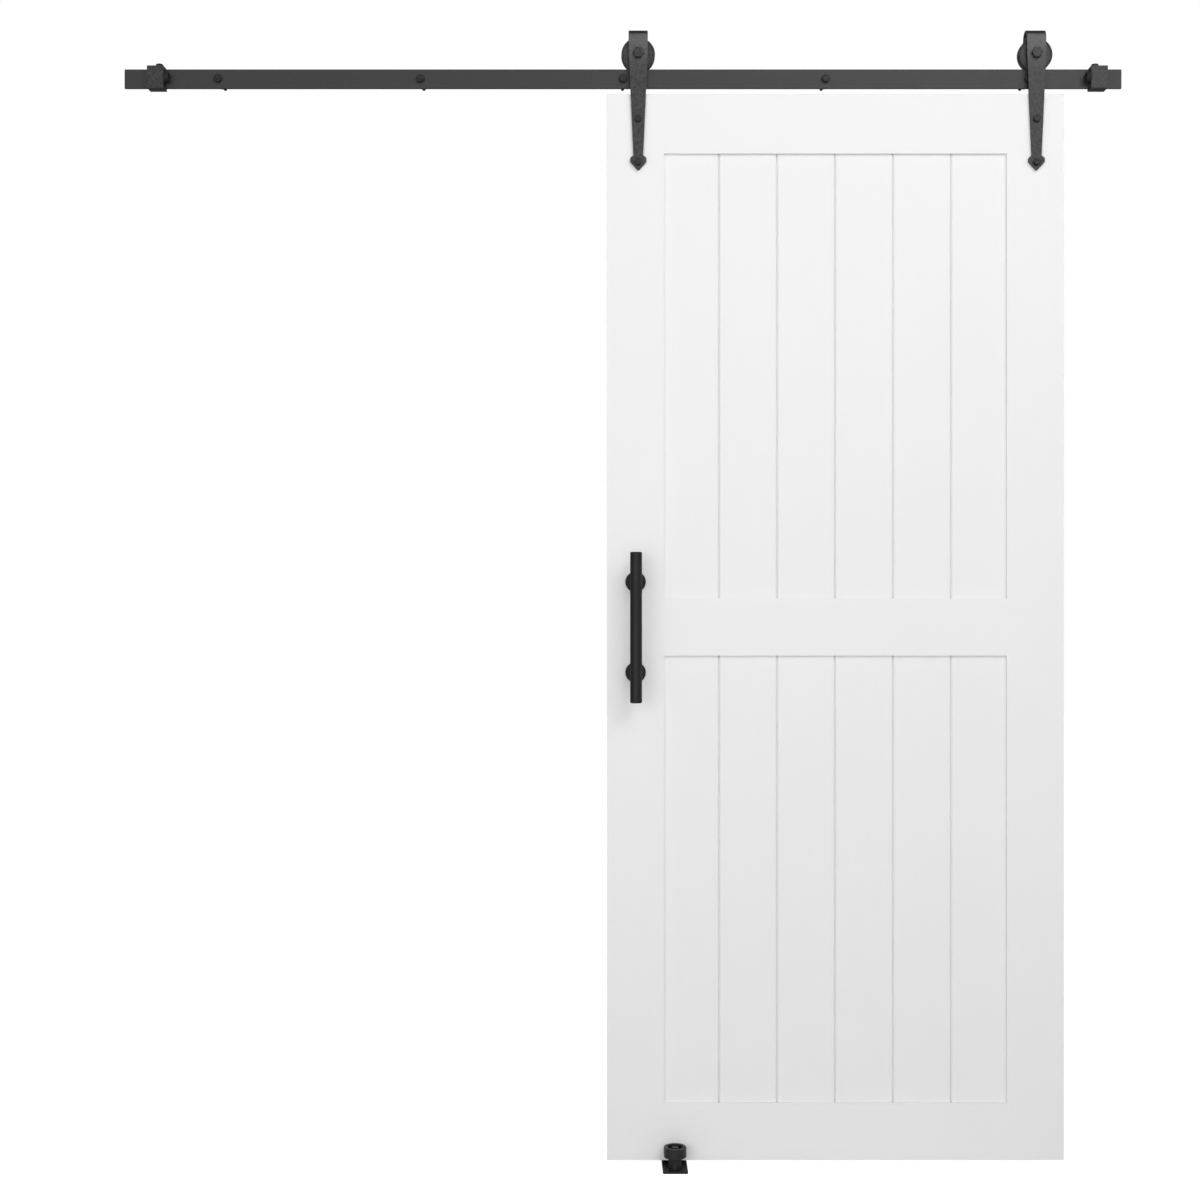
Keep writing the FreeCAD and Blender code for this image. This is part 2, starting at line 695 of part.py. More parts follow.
def hangers():
    for side, place in HANGERS:
        strap(side, place)
        wheel(side, place)
        race(f"{side}_bearing_outer_race", place, "bearing_dia / 2 - race_wall", "bearing_dia / 2")
        race(f"{side}_bearing_inner_race", place, "axle_dia / 2", "axle_dia / 2 + race_wall")
        group(f"{side}_bearing_balls", spheres(f"{side}_ball", "ball_dia", place))
        cage(side, place)
        axle_bolt(side, place)
    group("axle_bushes", [bush for hanger in HANGERS for bush in axle_bushes(*hanger)])
    group("axle_nuts", [axle_nut(*hanger) for hanger in HANGERS])


def door_bolts():
    """Bolts through strap and stile, with a washer and nut behind the door."""
    bolts = []
    washers = []
    nuts = []
    nut_start = "door_back + washer_thick"
    bore = "door_bolt_dia + 2 * bolt_play"
    for side, place in HANGERS:
        for end in ("upper", "lower"):
            name = f"{side}_{end}"
            level = f"door_top - {end}_bolt_drop"
            reach = f"{nut_start} + door_bolt_nut + bolt_end - strap_front"
            shank = cylinder(f"{name}_shank", "door_bolt_dia", reach, place, "strap_front", level, "Y")
            head = hexagon(
                f"{name}_head", "door_bolt_flats", "door_bolt_head", place, "strap_front", level, axis="-Y"
            )
            bolts.append(fuse(f"{name}_bolt", shank, head))
            washers.append(
                ring(
                    f"{name}_washer", "door_bolt_washer", bore, "washer_thick", place, "door_back", level, "Y"
                )
            )
            blank = hexagon(f"{name}_blank", "door_bolt_flats", "door_bolt_nut", place, nut_start, level, "Y")
            thread = cylinder(
                f"{name}_thread", "door_bolt_dia", "door_bolt_nut", place, nut_start, level, "Y"
            )
            nuts.append(cut(f"{name}_nut", blank, thread))
    group("door_bolts", bolts)
    group("door_bolt_washers", washers)
    group("door_bolt_nuts", nuts)


# The door panel --------------------------------------------------------------------------------

# Each cross rail: label, middle, height, edges that hold boards.
CROSS_RAILS = (
    ("door_top_rail", "door_top - top_height / 2", "top_height", (-1,)),
    ("door_middle_rail", "door_middle", "cross_height", (-1, 1)),
    ("door_bottom_rail", "door_bottom + cross_height / 2", "cross_height", (1,)),
)
# Each field of boards: name, lower ends of the boards, height of the field.
FIELDS = (
    ("upper", "door_middle + cross_height / 2 - board_hold", "upper_field"),
    ("lower", "door_bottom + cross_height - board_hold", "lower_field"),
)
DOOR_CENTRE = "(door_front + door_back) / 2"
GROOVE_START = "recess - seat_play"


def dowel_levels():
    return [f"{level} + {way} * dowel_spread / 2" for _, level, _, _ in CROSS_RAILS for way in (-1, 1)]


def stile(side, left, inner_edge, hanger):
    """Upright of the door: grooved along its inner edge, drilled for dowels, hanger bolts and pull bar."""
    body = new_body(f"{side}_stile", left, "door_front", "door_bottom")
    outline = sketch(body, "outline", "XY_Plane")
    rectangle(outline, "0", "stile_width", "0", "door_thick")
    pad(body, outline, "door_height")

    inward = 1 if side == "left" else -1
    groove = sketch(body, "groove", "XY_Plane")
    edge = "stile_width" if inward > 0 else "0"
    depth = f"{edge} - {inward} * frame_groove"
    near, far = (depth, edge) if inward > 0 else (edge, depth)
    rectangle(groove, near, far, GROOVE_START, f"{GROOVE_START} + groove_width")
    pocket(body, groove, "door_height", reverse=True)

    dowels = sketch(body, "dowel_holes", "YZ_Plane", edge)
    for level in dowel_levels():
        circle(dowels, f"{GROOVE_START} + groove_width / 2", f"{level} - door_bottom", "dowel_dia")
    pocket(body, dowels, "dowel_length / 2 + 1", reverse=inward < 0)

    bolts = sketch(body, "bolt_holes", "XZ_Plane")
    for drop in ("upper_bolt_drop", "lower_bolt_drop"):
        circle(bolts, f"{hanger} - ({left})", f"door_height - {drop}", "door_bolt_dia + 2 * bolt_play")
    if side == "left":
        for way in (-1, 1):
            circle(
                bolts,
                "handle_centre - door_left",
                f"door_height / 2 + {way} * post_spread / 2",
                "handle_bolt_dia + 2 * bolt_play",
            )
    pocket(body, bolts, "door_thick")


def cross_rail(label, level, height, grooves):
    """Cross rail between the stiles: a stub tenon at each end, grooves where boards enter."""
    body = new_body(label, "door_rest", "door_front", level)
    block = sketch(body, "block", "XZ_Plane")
    half = f"{height} / 2"
    rectangle(block, "-field_width / 2", "field_width / 2", f"-{half}", half)
    pad(body, block, "door_thick", reverse=True)
    stub = sketch(body, "stub_tenons", "XZ_Plane", "-recess")
    reach = "field_width / 2 + stub_length"
    rectangle(stub, f"-({reach})", reach, f"-{half}", half)
    pad(body, stub, "board_thick", reverse=True)
    for way in grooves:
        groove = sketch(body, "groove_top" if way > 0 else "groove_bottom", "YZ_Plane", reach)
        deep = f"{way} * ({half} - frame_groove)"
        outer = f"{way} * {half}"
        low, high = (deep, outer) if way > 0 else (outer, deep)
        rectangle(groove, GROOVE_START, f"{GROOVE_START} + groove_width", low, high)
        pocket(body, groove, f"2 * ({reach})")
    for side, edge in (("left", f"-({reach})"), ("right", reach)):
        dowels = sketch(body, f"{side}_dowel_holes", "YZ_Plane", edge)
        for way in (-1, 1):
            circle(dowels, f"{GROOVE_START} + groove_width / 2", f"{way} * dowel_spread / 2", "dowel_dia")
        pocket(body, dowels, "dowel_length / 2 + 1 + stub_length", reverse=side == "left")


def frame_dowels():
    edges = {"left": "door_left + stile_width", "right": "door_right - stile_width"}
    centre = f"door_front + {GROOVE_START} + groove_width / 2"
    group(
        "frame_dowels",
        [
            cylinder(
                f"{side}_dowel_{number}",
                "dowel_dia - 2 * seat_play",
                "dowel_length",
                f"{edge} - dowel_length / 2",
                centre,
                level,
                axis="X",
            )
            for side, edge in edges.items()
            for number, level in enumerate(dowel_levels())
        ],
    )


def board(field, number, bottom, height):
    """Tongue and groove board with bevelled front edges. The outer edges of a field are plain."""
    left = f"door_left + stile_width - board_hold + {number} * board_pitch"
    body = new_body(f"{field}_board_{number + 1}", left, "door_front + recess", bottom)
    width = "board_pitch - seat_play"
    centre = "board_thick / 2"
    slot = "tongue_thick / 2 + seat_play"
    deep = "tongue_length + seat_play"
    tongue = "tongue_thick / 2"
    last = number == int(value("board_count")) - 1
    if number == 0:
        left_side = [("0", "board_thick"), ("0", "0")]
    else:
        left_side = [
            ("0", "board_thick"),
            ("0", f"{centre} + {slot}"),
            (deep, f"{centre} + {slot}"),
            (deep, f"{centre} - ({slot})"),
            ("0", f"{centre} - ({slot})"),
            ("0", "vee_depth"),
            ("board_vee", "0"),
        ]
    if last:
        right_side = [("board_pitch", "0"), ("board_pitch", "board_thick")]
    else:
        right_side = [
            (f"{width} - board_vee", "0"),
            (width, "vee_depth"),
            (width, f"{centre} - {tongue}"),
            (f"{width} + tongue_length", f"{centre} - {tongue}"),
            (f"{width} + tongue_length", f"{centre} + {tongue}"),
            (width, f"{centre} + {tongue}"),
            (width, "board_thick"),
        ]
    profile = sketch(body, "section", "XY_Plane")
    polygon(profile, left_side + right_side)
    pad(body, profile, f"{height} + 2 * board_hold")


def door():
    stile("left", "door_left", "door_left + stile_width", "left_hanger")
    stile("right", "door_right - stile_width", "door_right - stile_width", "right_hanger")
    for cross in CROSS_RAILS:
        cross_rail(*cross)
    frame_dowels()
    for field, bottom, height in FIELDS:
        for number in range(int(value("board_count"))):
            board(field, number, bottom, height)


# The pull bar ----------------------------------------------------------------------------------

POST_LEVELS = ("door_middle - post_spread / 2", "door_middle + post_spread / 2")


def handle_bar():
    body = new_body("handle_bar", "handle_centre", "bar_middle", "door_middle")
    profile = sketch(body, "section", "XZ_Plane")
    radius = "handle_dia / 2"
    half = "handle_length / 2"
    polygon(
        profile,
        (
            ("0", f"-{half}"),
            (f"{radius} - handle_bevel", f"-{half}"),
            (radius, f"-{half} + handle_bevel"),
            (radius, f"{half} - handle_bevel"),
            (f"{radius} - handle_bevel", half),
            ("0", half),
        ),
    )
    revolve(body, profile, "V_Axis")


def handle_post(number, level):
    """Round post from its flange to the bar, saddled to the bar and threaded for its bolt."""
    post = cylinder(
        f"post_{number}_round",
        "post_dia",
        "flange_front - bar_middle",
        "handle_centre",
        "bar_middle",
        level,
        "Y",
    )
    saddle = cylinder(
        f"post_{number}_saddle",
        "handle_dia",
        "2 * post_dia",
        "handle_centre",
        "bar_middle",
        f"{level} - post_dia",
    )
    thread = cylinder(
        f"post_{number}_thread",
        "handle_bolt_dia",
        "handle_bolt_grip + 1",
        "handle_centre",
        "flange_front - handle_bolt_grip - 1",
        level,
        axis="Y",
    )
    return cut(f"post_{number}", post, saddle, thread)


def handle_flange(number, level):
    thick = "handle_flange_thick - handle_bevel_flange"
    foot = cylinder(
        f"flange_{number}_foot",
        "handle_flange_dia",
        thick,
        "handle_centre",
        f"door_front - ({thick})",
        level,
        "Y",
    )
    rim = cone(
        f"flange_{number}_rim",
        "handle_flange_dia - 2 * handle_bevel_flange",
        "handle_flange_dia",
        "handle_bevel_flange",
        "handle_centre",
        "flange_front",
        level,
        "Y",
    )
    bore = cylinder(
        f"flange_{number}_bore",
        "handle_bolt_dia + 2 * bolt_play",
        "handle_flange_thick",
        "handle_centre",
        "flange_front",
        level,
        "Y",
    )
    return cut(f"flange_{number}", fuse(f"flange_{number}_disc", foot, rim), bore)


def handle_bolt(number, level):
    """Bolt from behind the door, through the stile and the flange, into the post."""
    seat = "door_back + washer_thick"
    start = "flange_front - handle_bolt_grip"
    shank = cylinder(
        f"handle_shank_{number}", "handle_bolt_dia", f"{seat} - ({start})", "handle_centre", start, level, "Y"
    )
    head = hexagon(
        f"handle_head_{number}", "handle_bolt_flats", "handle_bolt_head", "handle_centre", seat, level, "Y"
    )
    return fuse(f"handle_bolt_{number}", shank, head)


def handle():
    handle_bar()
    posts = list(enumerate(POST_LEVELS))
    group("handle_posts", [handle_post(number, level) for number, level in posts])
    group("handle_flanges", [handle_flange(number, level) for number, level in posts])
    group("handle_bolts", [handle_bolt(number, level) for number, level in posts])
    bore = "handle_bolt_dia + 2 * bolt_play"
    washers = [
        ring(
            f"handle_washer_{number}",
            "handle_washer_dia",
            bore,
            "washer_thick",
            "handle_centre",
            "door_back",
            z,
            "Y",
        )
        for number, z in posts
    ]
    group("handle_washers", washers)


# The floor guide -------------------------------------------------------------------------------

FLOOR_SCREWS = ("-floor_screw_spread / 2", "floor_screw_spread / 2")
PAD_SCREWS = ("-pad_screw_spread / 2", "pad_screw_spread / 2")
PAD_LEVEL = "floor_level + guide_upright - pad_height / 2 - guide_bevel"


def guide_base_plate():
    """Floor plate in front of and under the door, bent up behind it."""
    body = new_body("guide_base_plate", x="guide_place")
    profile = sketch(body, "side", "YZ_Plane", "-guide_width / 2")
    rear = "upright_front + guide_thick"
    front = "door_front - guide_front"
    polygon(
        profile,
        (
            (front, "floor_level"),
            (rear, "floor_level"),
            (rear, "floor_level + guide_upright"),
            ("upright_front", "floor_level + guide_upright"),
            ("upright_front", "plate_top"),
            (front, "plate_top"),
        ),
    )
    pad(body, profile, "guide_width")
    corners = sketch(body, "front_corners", "XY_Plane", "plate_top")
    for way in (-1, 1):
        side = f"{way} * guide_width / 2"
        polygon(
            corners,
            ((side, front), (f"{side} - {way} * guide_bevel", front), (side, f"{front} + guide_bevel")),
        )
    pocket(body, corners, "guide_thick")
    holes = sketch(body, "axle_hole", "XY_Plane", "plate_top")
    circle(holes, "0", "roller_middle", "guide_axle_dia + 2 * bolt_play")
    for place in FLOOR_SCREWS:
        circle(holes, place, DOOR_CENTRE, "floor_screw_dia + 2 * bolt_play")
    pocket(body, holes, "guide_thick")
    for number, place in enumerate(FLOOR_SCREWS):
        sink = sketch(body, f"countersink_{number}", "XZ_Plane", f"-({DOOR_CENTRE})")
        flare = "floor_screw_head / 2 + bolt_play"
        slim = "floor_screw_dia / 2 + bolt_play"
        bottom = "plate_top - screw_head"
        polygon(
            sink,
            (
                (place, "plate_top"),
                (f"{place} + {flare}", "plate_top"),
                (f"{place} + {slim}", bottom),
                (place, bottom),
            ),
        )
        axis = sink.addGeometry(
            Part.LineSegment(Vector(value(place), 0, 0), Vector(value(place), 10, 0)), True
        )
        pin(sink, axis, 1, place, "0")
        pin(sink, axis, 2, place, "10")
        revolve(body, sink, "Axis0", kind="Groove")
    pad_holes = sketch(body, "pad_holes", "XZ_Plane", "-upright_front")
    for place in PAD_SCREWS:
        circle(pad_holes, place, PAD_LEVEL, "pad_screw_dia")
    pocket(body, pad_holes, "guide_thick")


def guide_roller():
    """Plastic roller on an upright axle, with a recess in its top for the axle screw's head."""
    body = new_body("guide_roller", "guide_place", "roller_middle", "floor_level + roller_base")
    profile = sketch(body, "section", "XZ_Plane")
    radius = "roller_dia / 2"
    bore = "guide_axle_dia / 2 + running_play"
    polygon(
        profile,
        (
            (bore, "0"),
            (f"{radius} - roller_bevel", "0"),
            (radius, "roller_bevel"),
            (radius, "roller_height - roller_bevel"),
            (f"{radius} - roller_bevel", "roller_height"),
            ("roller_cup_dia / 2", "roller_height"),
            ("roller_cup_dia / 2", "roller_height - roller_cup_depth"),
            (bore, "roller_height - roller_cup_depth"),
        ),
    )
    revolve(body, profile, "V_Axis")


def guide_axle():
    """Shoulder screw: hex head in the roller's recess, shank to the floor, threaded tip in the floor."""
    washer_seat = "floor_level + roller_base + roller_height - roller_cup_depth + roller_lift"
    head_seat = f"{washer_seat} + washer_thick"
    head = hexagon(
        "guide_head", "guide_axle_flats", "guide_axle_head", "guide_place", "roller_middle", head_seat
    )
    shank = cylinder(
        "guide_shank",
        "guide_axle_dia",
        f"{head_seat} - floor_level",
        "guide_place",
        "roller_middle",
        "floor_level",
    )
    tip = cylinder(
        "guide_tip",
        "axle_tip_dia",
        "axle_tip_length",
        "guide_place",
        "roller_middle",
        "floor_level - axle_tip_length",
    )
    keep(fuse("guide_axle_screw", head, shank, tip), "guide_axle_screw")
    bore = "guide_axle_dia + 2 * bolt_play"
    washer = ring(
        "guide_washer", "guide_washer_dia", bore, "washer_thick", "guide_place", "roller_middle", washer_seat
    )
    keep(washer, "guide_washer")
    boss = ring(
        "guide_spacer",
        "guide_boss_dia",
        bore,
        "roller_base - roller_lift - guide_thick",
        "guide_place",
        "roller_middle",
        "plate_top",
    )
    keep(boss, "guide_spacer")


def guide_glide_pad():
    """Plastic pad on the front of the upright, facing the door's back."""
    body = new_body("guide_glide_pad", "guide_place", "upright_front", PAD_LEVEL)
    block = sketch(body, "block", "XZ_Plane")
    rectangle(block, "-guide_width / 2", "guide_width / 2", "-pad_height / 2", "pad_height / 2")
    pad(body, block, "pad_thick")
    holes = sketch(body, "holes", "XZ_Plane", "pad_thick")
    for place in PAD_SCREWS:
        circle(holes, place, "0", "pad_screw_dia + 2 * bolt_play")
    pocket(body, holes, "pad_thick")
    sinks = sketch(body, "sinks", "XZ_Plane", "pad_thick")
    for place in PAD_SCREWS:
        circle(sinks, place, "0", "2 * pad_screw_dia + 2 * bolt_play")
    pocket(body, sinks, "screw_head")


def pad_screw(number, place):
    spot = f"guide_place + {place}"
    seat = "pad_front + screw_head"
    head = cylinder(f"pad_head_{number}", "2 * pad_screw_dia", "screw_head", spot, seat, PAD_LEVEL, "-Y")
    length = "pad_thick - screw_head + guide_thick"
    shank = cylinder(f"pad_shank_{number}", "pad_screw_dia", length, spot, seat, PAD_LEVEL, "Y")
    return fuse(f"pad_screw_{number}", head, shank)


def floor_screw(number, place):
    """Countersunk screw through the floor plate, under the door."""
    spot = f"guide_place + {place}"
    head = cone(
        f"floor_head_{number}",
        "floor_screw_dia",
        "floor_screw_head",
        "screw_head",
        spot,
        DOOR_CENTRE,
        "plate_top - screw_head",
    )
    shank = cylinder(
        f"floor_shank_{number}",
        "floor_screw_dia",
        "guide_thick - screw_head",
        spot,
        DOOR_CENTRE,
        "floor_level",
    )
    straight = "floor_screw_bite - floor_point"
    thread = cylinder(
        f"floor_thread_{number}",
        "floor_thread_dia",
        straight,
        spot,
        DOOR_CENTRE,
        f"floor_level - ({straight})",
    )
    point = cone(
        f"floor_point_{number}",
        "point_flat",
        "floor_thread_dia",
        "floor_point",
        spot,
        DOOR_CENTRE,
        "floor_level - floor_screw_bite",
    )
    return fuse(f"floor_screw_{number}", head, shank, thread, point)


def floor_guide():
    guide_base_plate()
    guide_roller()
    guide_axle()
    guide_glide_pad()
    group("guide_pad_screws", [pad_screw(*item) for item in enumerate(PAD_SCREWS)])
    group("guide_floor_screws", [floor_screw(*item) for item in enumerate(FLOOR_SCREWS)])


# Build, test, write ----------------------------------------------------------------------------


def test_document():
    """Stop if any object failed or any finished piece isn't a sound shape."""
    for item in doc.Objects:
        if "Invalid" in item.State or "Error" in item.State:
            raise RuntimeError(f"{item.Name} failed: {item.State}")
    for node in nodes:
        if node.Shape.isNull() or not node.Shape.isValid() or not node.Shape.Solids:
            raise RuntimeError(f"{node.Label} has no sound shape")


def main():
    rail()
    rail_fixings()
    end_stops()
    hangers()
    door_bolts()
    door()
    handle()
    floor_guide()
    doc.recompute()
    test_document()
    os.makedirs("parts", exist_ok=True)
    for node in nodes:
        node.Shape.exportStep(f"parts/{node.Label}.step")
        print(f"{node.Label}: {len(node.Shape.Solids)} solids, {node.Shape.Volume:.1f} mm3")


main()
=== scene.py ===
"""Sliding barn door on its flat rail: the finished look of every piece, and the stage it stands on."""

import json
import math

import bmesh
import bpy
from bpy.props import FloatProperty, FloatVectorProperty, IntProperty, PointerProperty
from mathutils import Matrix, Vector

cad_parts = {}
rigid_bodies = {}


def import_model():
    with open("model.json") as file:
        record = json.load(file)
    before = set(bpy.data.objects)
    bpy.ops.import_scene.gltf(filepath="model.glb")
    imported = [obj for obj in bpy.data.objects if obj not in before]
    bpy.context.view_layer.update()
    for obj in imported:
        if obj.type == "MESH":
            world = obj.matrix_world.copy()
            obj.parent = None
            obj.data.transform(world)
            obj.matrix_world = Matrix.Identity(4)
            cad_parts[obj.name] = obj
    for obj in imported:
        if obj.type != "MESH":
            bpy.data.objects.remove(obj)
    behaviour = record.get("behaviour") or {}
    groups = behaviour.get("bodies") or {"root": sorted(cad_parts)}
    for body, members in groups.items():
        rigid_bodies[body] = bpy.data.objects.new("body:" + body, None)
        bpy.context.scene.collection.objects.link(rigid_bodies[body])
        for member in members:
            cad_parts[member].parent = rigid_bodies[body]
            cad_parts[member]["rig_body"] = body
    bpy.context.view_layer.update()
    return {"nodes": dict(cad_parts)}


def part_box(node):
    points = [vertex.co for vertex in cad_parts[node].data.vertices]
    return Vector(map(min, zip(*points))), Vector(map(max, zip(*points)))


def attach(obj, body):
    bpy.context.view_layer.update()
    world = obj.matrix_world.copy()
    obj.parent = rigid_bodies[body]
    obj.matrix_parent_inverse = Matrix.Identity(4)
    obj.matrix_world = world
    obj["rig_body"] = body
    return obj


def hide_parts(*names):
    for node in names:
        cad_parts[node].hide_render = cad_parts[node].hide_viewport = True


bl_info = {
    "name": "Sliding Barn Door Hardware",
    "version": (1, 0, 0),
    "blender": (4, 5, 0),
    "location": "3D View > Sidebar > Barn Door",
    "description": "Builds the visible pieces of a sliding barn door around its packed model",
    "category": "Object",
}

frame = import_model()
MM = 0.001
WELD = 1e-6
FULL_TURN = 2.0 * math.pi

M6_DIA = 6.0 * MM
M8_DIA = 8.0 * MM
M12_DIA = 12.0 * MM
M6_HOLE = 6.4 * MM
M8_HOLE = 8.4 * MM
M8_FLATS = 13.0 * MM
M12_FLATS = 19.0 * MM
TREAD = 28.5 * MM
WOOD_RIDGE = 0.3


def length(name, default, description):
    """A length property, its default in millimetres."""
    return FloatProperty(name=name, description=description, default=default * MM, min=0.0, unit="LENGTH")


def colour(name, default, description):
    """A colour property in linear light."""
    return FloatVectorProperty(
        name=name, description=description, default=default, min=0.0, max=1.0, size=3, subtype="COLOR"
    )


class BarnDoorSizes(bpy.types.PropertyGroup):
    """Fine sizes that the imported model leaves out."""

    rail_edge: length("Rail edge", 0.7, "Rounding of the flat bar's long edges")
    strap_edge: length("Strap edge", 0.7, "Rounding of the hanger straps' cut edges")
    stop_edge: length("End stop edge", 0.9, "Rounding of the end stops' corners")
    guide_edge: length("Guide edge", 0.5, "Rounding of the floor plate's edges")
    wood_edge: length("Wood edge", 0.6, "Easing of the door frame's edges")
    board_edge: length("Board edge", 0.35, "Easing of the boards' edges")
    turned_edge: length("Turned edge", 0.4, "Rounding of small turned corners")
    spacer_edge: length("Spacer edge", 0.64, "Rounding of the wall spacers' ends")
    wheel_edge: length("Wheel edge", 0.9, "Rounding of the wheels' flanges")
    flange_edge: length("Flange edge", 0.6, "Rounding of the handle flanges' corners")
    lag_pitch: length("Lag pitch", 3.2, "Pitch of the lag bolts' wood thread")
    floor_pitch: length("Floor screw pitch", 2.0, "Pitch of the floor screws' thread")
    axle_pitch: length("Axle pitch", 1.75, "Pitch of the axle bolts' thread")
    bolt_pitch: length("Bolt pitch", 1.25, "Pitch of the door bolts' thread")
    small_pitch: length("Small pitch", 1.0, "Pitch of the small screws' thread")
    head_dish: length("Head dish", 0.25, "Depth of the forged dish in a bolt head")
    round_steps: IntProperty(
        name="Round steps", description="Facets round a large circle", default=96, min=24
    )
    bolt_steps: IntProperty(
        name="Bolt steps", description="Facets round a bolt, six per side", default=48, min=24
    )


class BarnDoorColours(bpy.types.PropertyGroup):
    """Base colours of the finishes, in linear light."""

    coat: colour("Coat", (0.024, 0.024, 0.0245), "Sand textured powder coat on rail, stops and straps")
    wheel: colour("Wheel coat", (0.024, 0.024, 0.0245), "Coat on the wheels")
    tread: colour("Worn tread", (0.070, 0.069, 0.068), "Wheel groove rubbed by the rail")
    handle: colour("Handle coat", (0.004, 0.004, 0.0043), "Satin black on the pull bar")
    bolt: colour("Black bolt", (0.010, 0.010, 0.0105), "Black oxide on bolts")
    steel: colour("Bearing steel", (0.58, 0.58, 0.59), "Ground bearing steel")
    brass: colour("Cage brass", (0.62, 0.43, 0.17), "Pressed brass ball cage")
    zinc: colour("Zinc plate", (0.56, 0.57, 0.60), "Bright zinc on nuts, washers and bushes")
    rubber: colour("Rubber", (0.010, 0.010, 0.010), "Bumper rubber")
    guide: colour("Guide steel", (0.007, 0.007, 0.0073), "Black coat on the floor guide")
    plastic: colour("Guide plastic", (0.0055, 0.0055, 0.0057), "Moulded roller and glide pad")
    paint: colour("Door paint", (0.84, 0.84, 0.84), "White satin paint on the door")
    wood: colour("Bare wood", (0.55, 0.38, 0.22), "Beech dowels")


class BarnDoorStage(bpy.types.PropertyGroup):
    """Camera, light and floor."""

    eye: FloatVectorProperty(
        name="Camera place",
        description="Camera place; it looks straight at the wall",
        default=(-0.0462, -3.3817, -1.0455),
        size=3,
        subtype="TRANSLATION",
        unit="LENGTH",
    )
    lens: FloatProperty(name="Lens", description="Focal length on a 36 mm frame", default=50.0, unit="CAMERA")
    room_light: FloatProperty(
        name="Room light", description="Strength of the even light all round", default=0.45
    )
    back_light: FloatProperty(name="Back light", description="The same light behind the wall", default=0.32)
    top_light: FloatProperty(
        name="Top light", description="Share of the even light left overhead", default=0.25
    )
    key_light: FloatProperty(
        name="Key light", description="Soft light above right", default=88.0, unit="POWER"
    )
    fill_light: FloatProperty(
        name="Fill light",
        description="Broad soft light from the left, at door height",
        default=115.0,
        unit="POWER",
    )
    floor: colour("Floor", (0.60, 0.60, 0.60), "Pale floor")
    floor_glow: FloatProperty(
        name="Floor glow", description="Lift that turns the seen floor white", default=0.95
    )


def sizes():
    return bpy.context.scene.barn_door_sizes


def colours():
    return bpy.context.scene.barn_door_colours


# Finishes


class Finish:
    """Node graph of one finish: layers of texture that tint, dull and roughen the surface."""

    def __init__(self, name, metallic=0.0):
        self.material = bpy.data.materials.new(name)
        self.material.use_nodes = True
        self.tree = self.material.node_tree
        self.shader = self.tree.nodes["Principled BSDF"]
        self.shader.inputs["Metallic"].default_value = metallic
        self.place = self.tree.nodes.new("ShaderNodeTexCoord").outputs["Object"]

    def link(self, source, target):
        self.tree.links.new(source, target)

    def math(self, operation, first, second):
        node = self.tree.nodes.new("ShaderNodeMath")
        node.operation = operation
        for socket, item in zip(node.inputs, (first, second)):
            if isinstance(item, (int, float)):
                socket.default_value = item
            else:
                self.link(item, socket)
        return node.outputs[0]

    def texture(self, kind, grain, stretch=(1.0, 1.0, 1.0), detail=3.0):
        """Texture output between 0 and 1 whose features are about `grain` millimetres across."""
        mapping = self.tree.nodes.new("ShaderNodeMapping")
        mapping.inputs["Scale"].default_value = stretch
        self.link(self.place, mapping.inputs["Vector"])
        node = self.tree.nodes.new("ShaderNodeTexVoronoi" if kind == "specks" else "ShaderNodeTexNoise")
        self.link(mapping.outputs["Vector"], node.inputs["Vector"])
        node.inputs["Scale"].default_value = 1.0 / (grain * MM)
        node.inputs["Detail"].default_value = 0.0 if kind == "specks" else detail
        return node.outputs["Distance" if kind == "specks" else "Fac"]

    def sum(self, textures, amounts):
        """Textures, each taken about its middle and times its amount, added up."""
        total = None
        for output, amount in zip(textures, amounts):
            if not amount:
                continue
            part = self.math("MULTIPLY", self.math("SUBTRACT", output, 0.5), amount)
            total = part if total is None else self.math("ADD", total, part)
        return total

    def rise(self, bottom, top):
        """Value that grows from 0 to 1 between two heights in metres."""
        parts = self.tree.nodes.new("ShaderNodeSeparateXYZ")
        self.link(self.place, parts.inputs[0])
        fade = self.tree.nodes.new("ShaderNodeMapRange")
        fade.interpolation_type = "SMOOTHSTEP"
        fade.inputs["From Min"].default_value = bottom
        fade.inputs["From Max"].default_value = top
        self.link(parts.outputs["Z"], fade.inputs["Value"])
        return fade.outputs[0]

    def build(self, dark, light, roughness, layers, centre=0.5, rubbed=None):
        """Wires the layers to colour, roughness and relief, and returns the material.

        A layer is (kind, grain, stretch, detail, tint, dulling, height in millimetres). `rubbed` is
        (from height, to height, crown, tint): a painted highlight, the colour turning paler upwards, up to
        its crown.
        """
        outputs = [self.texture(kind, grain, stretch, detail) for kind, grain, stretch, detail, *_ in layers]
        mix = self.tree.nodes.new("ShaderNodeMix")
        mix.data_type = "RGBA"
        mix.clamp_factor = True
        mix.inputs["A"].default_value = (*dark, 1.0)
        mix.inputs["B"].default_value = (*light, 1.0)
        factor = self.math("ADD", self.sum(outputs, [layer[4] for layer in layers]), centre)
        # Painted highlight: the colour is made paler between two heights, up to the crown, in place of light.
        if rubbed:
            bottom, top, crown, tint = rubbed
            band = self.math("SUBTRACT", self.rise(bottom, top), self.rise(crown, crown + 2.0 * MM))
            factor = self.math("ADD", factor, self.math("MULTIPLY", band, tint))
        self.link(factor, mix.inputs["Factor"])
        self.link(mix.outputs["Result"], self.shader.inputs["Base Color"])
        dull = self.math("ADD", self.sum(outputs, [layer[5] for layer in layers]), roughness)
        self.link(dull, self.shader.inputs["Roughness"])
        height = self.sum(outputs, [layer[6] * MM for layer in layers])
        bump = self.tree.nodes.new("ShaderNodeBump")
        bump.inputs["Strength"].default_value = 1.0
        bump.inputs["Distance"].default_value = 1.0
        self.link(height, bump.inputs["Height"])
        self.link(bump.outputs["Normal"], self.shader.inputs["Normal"])
        return self.material


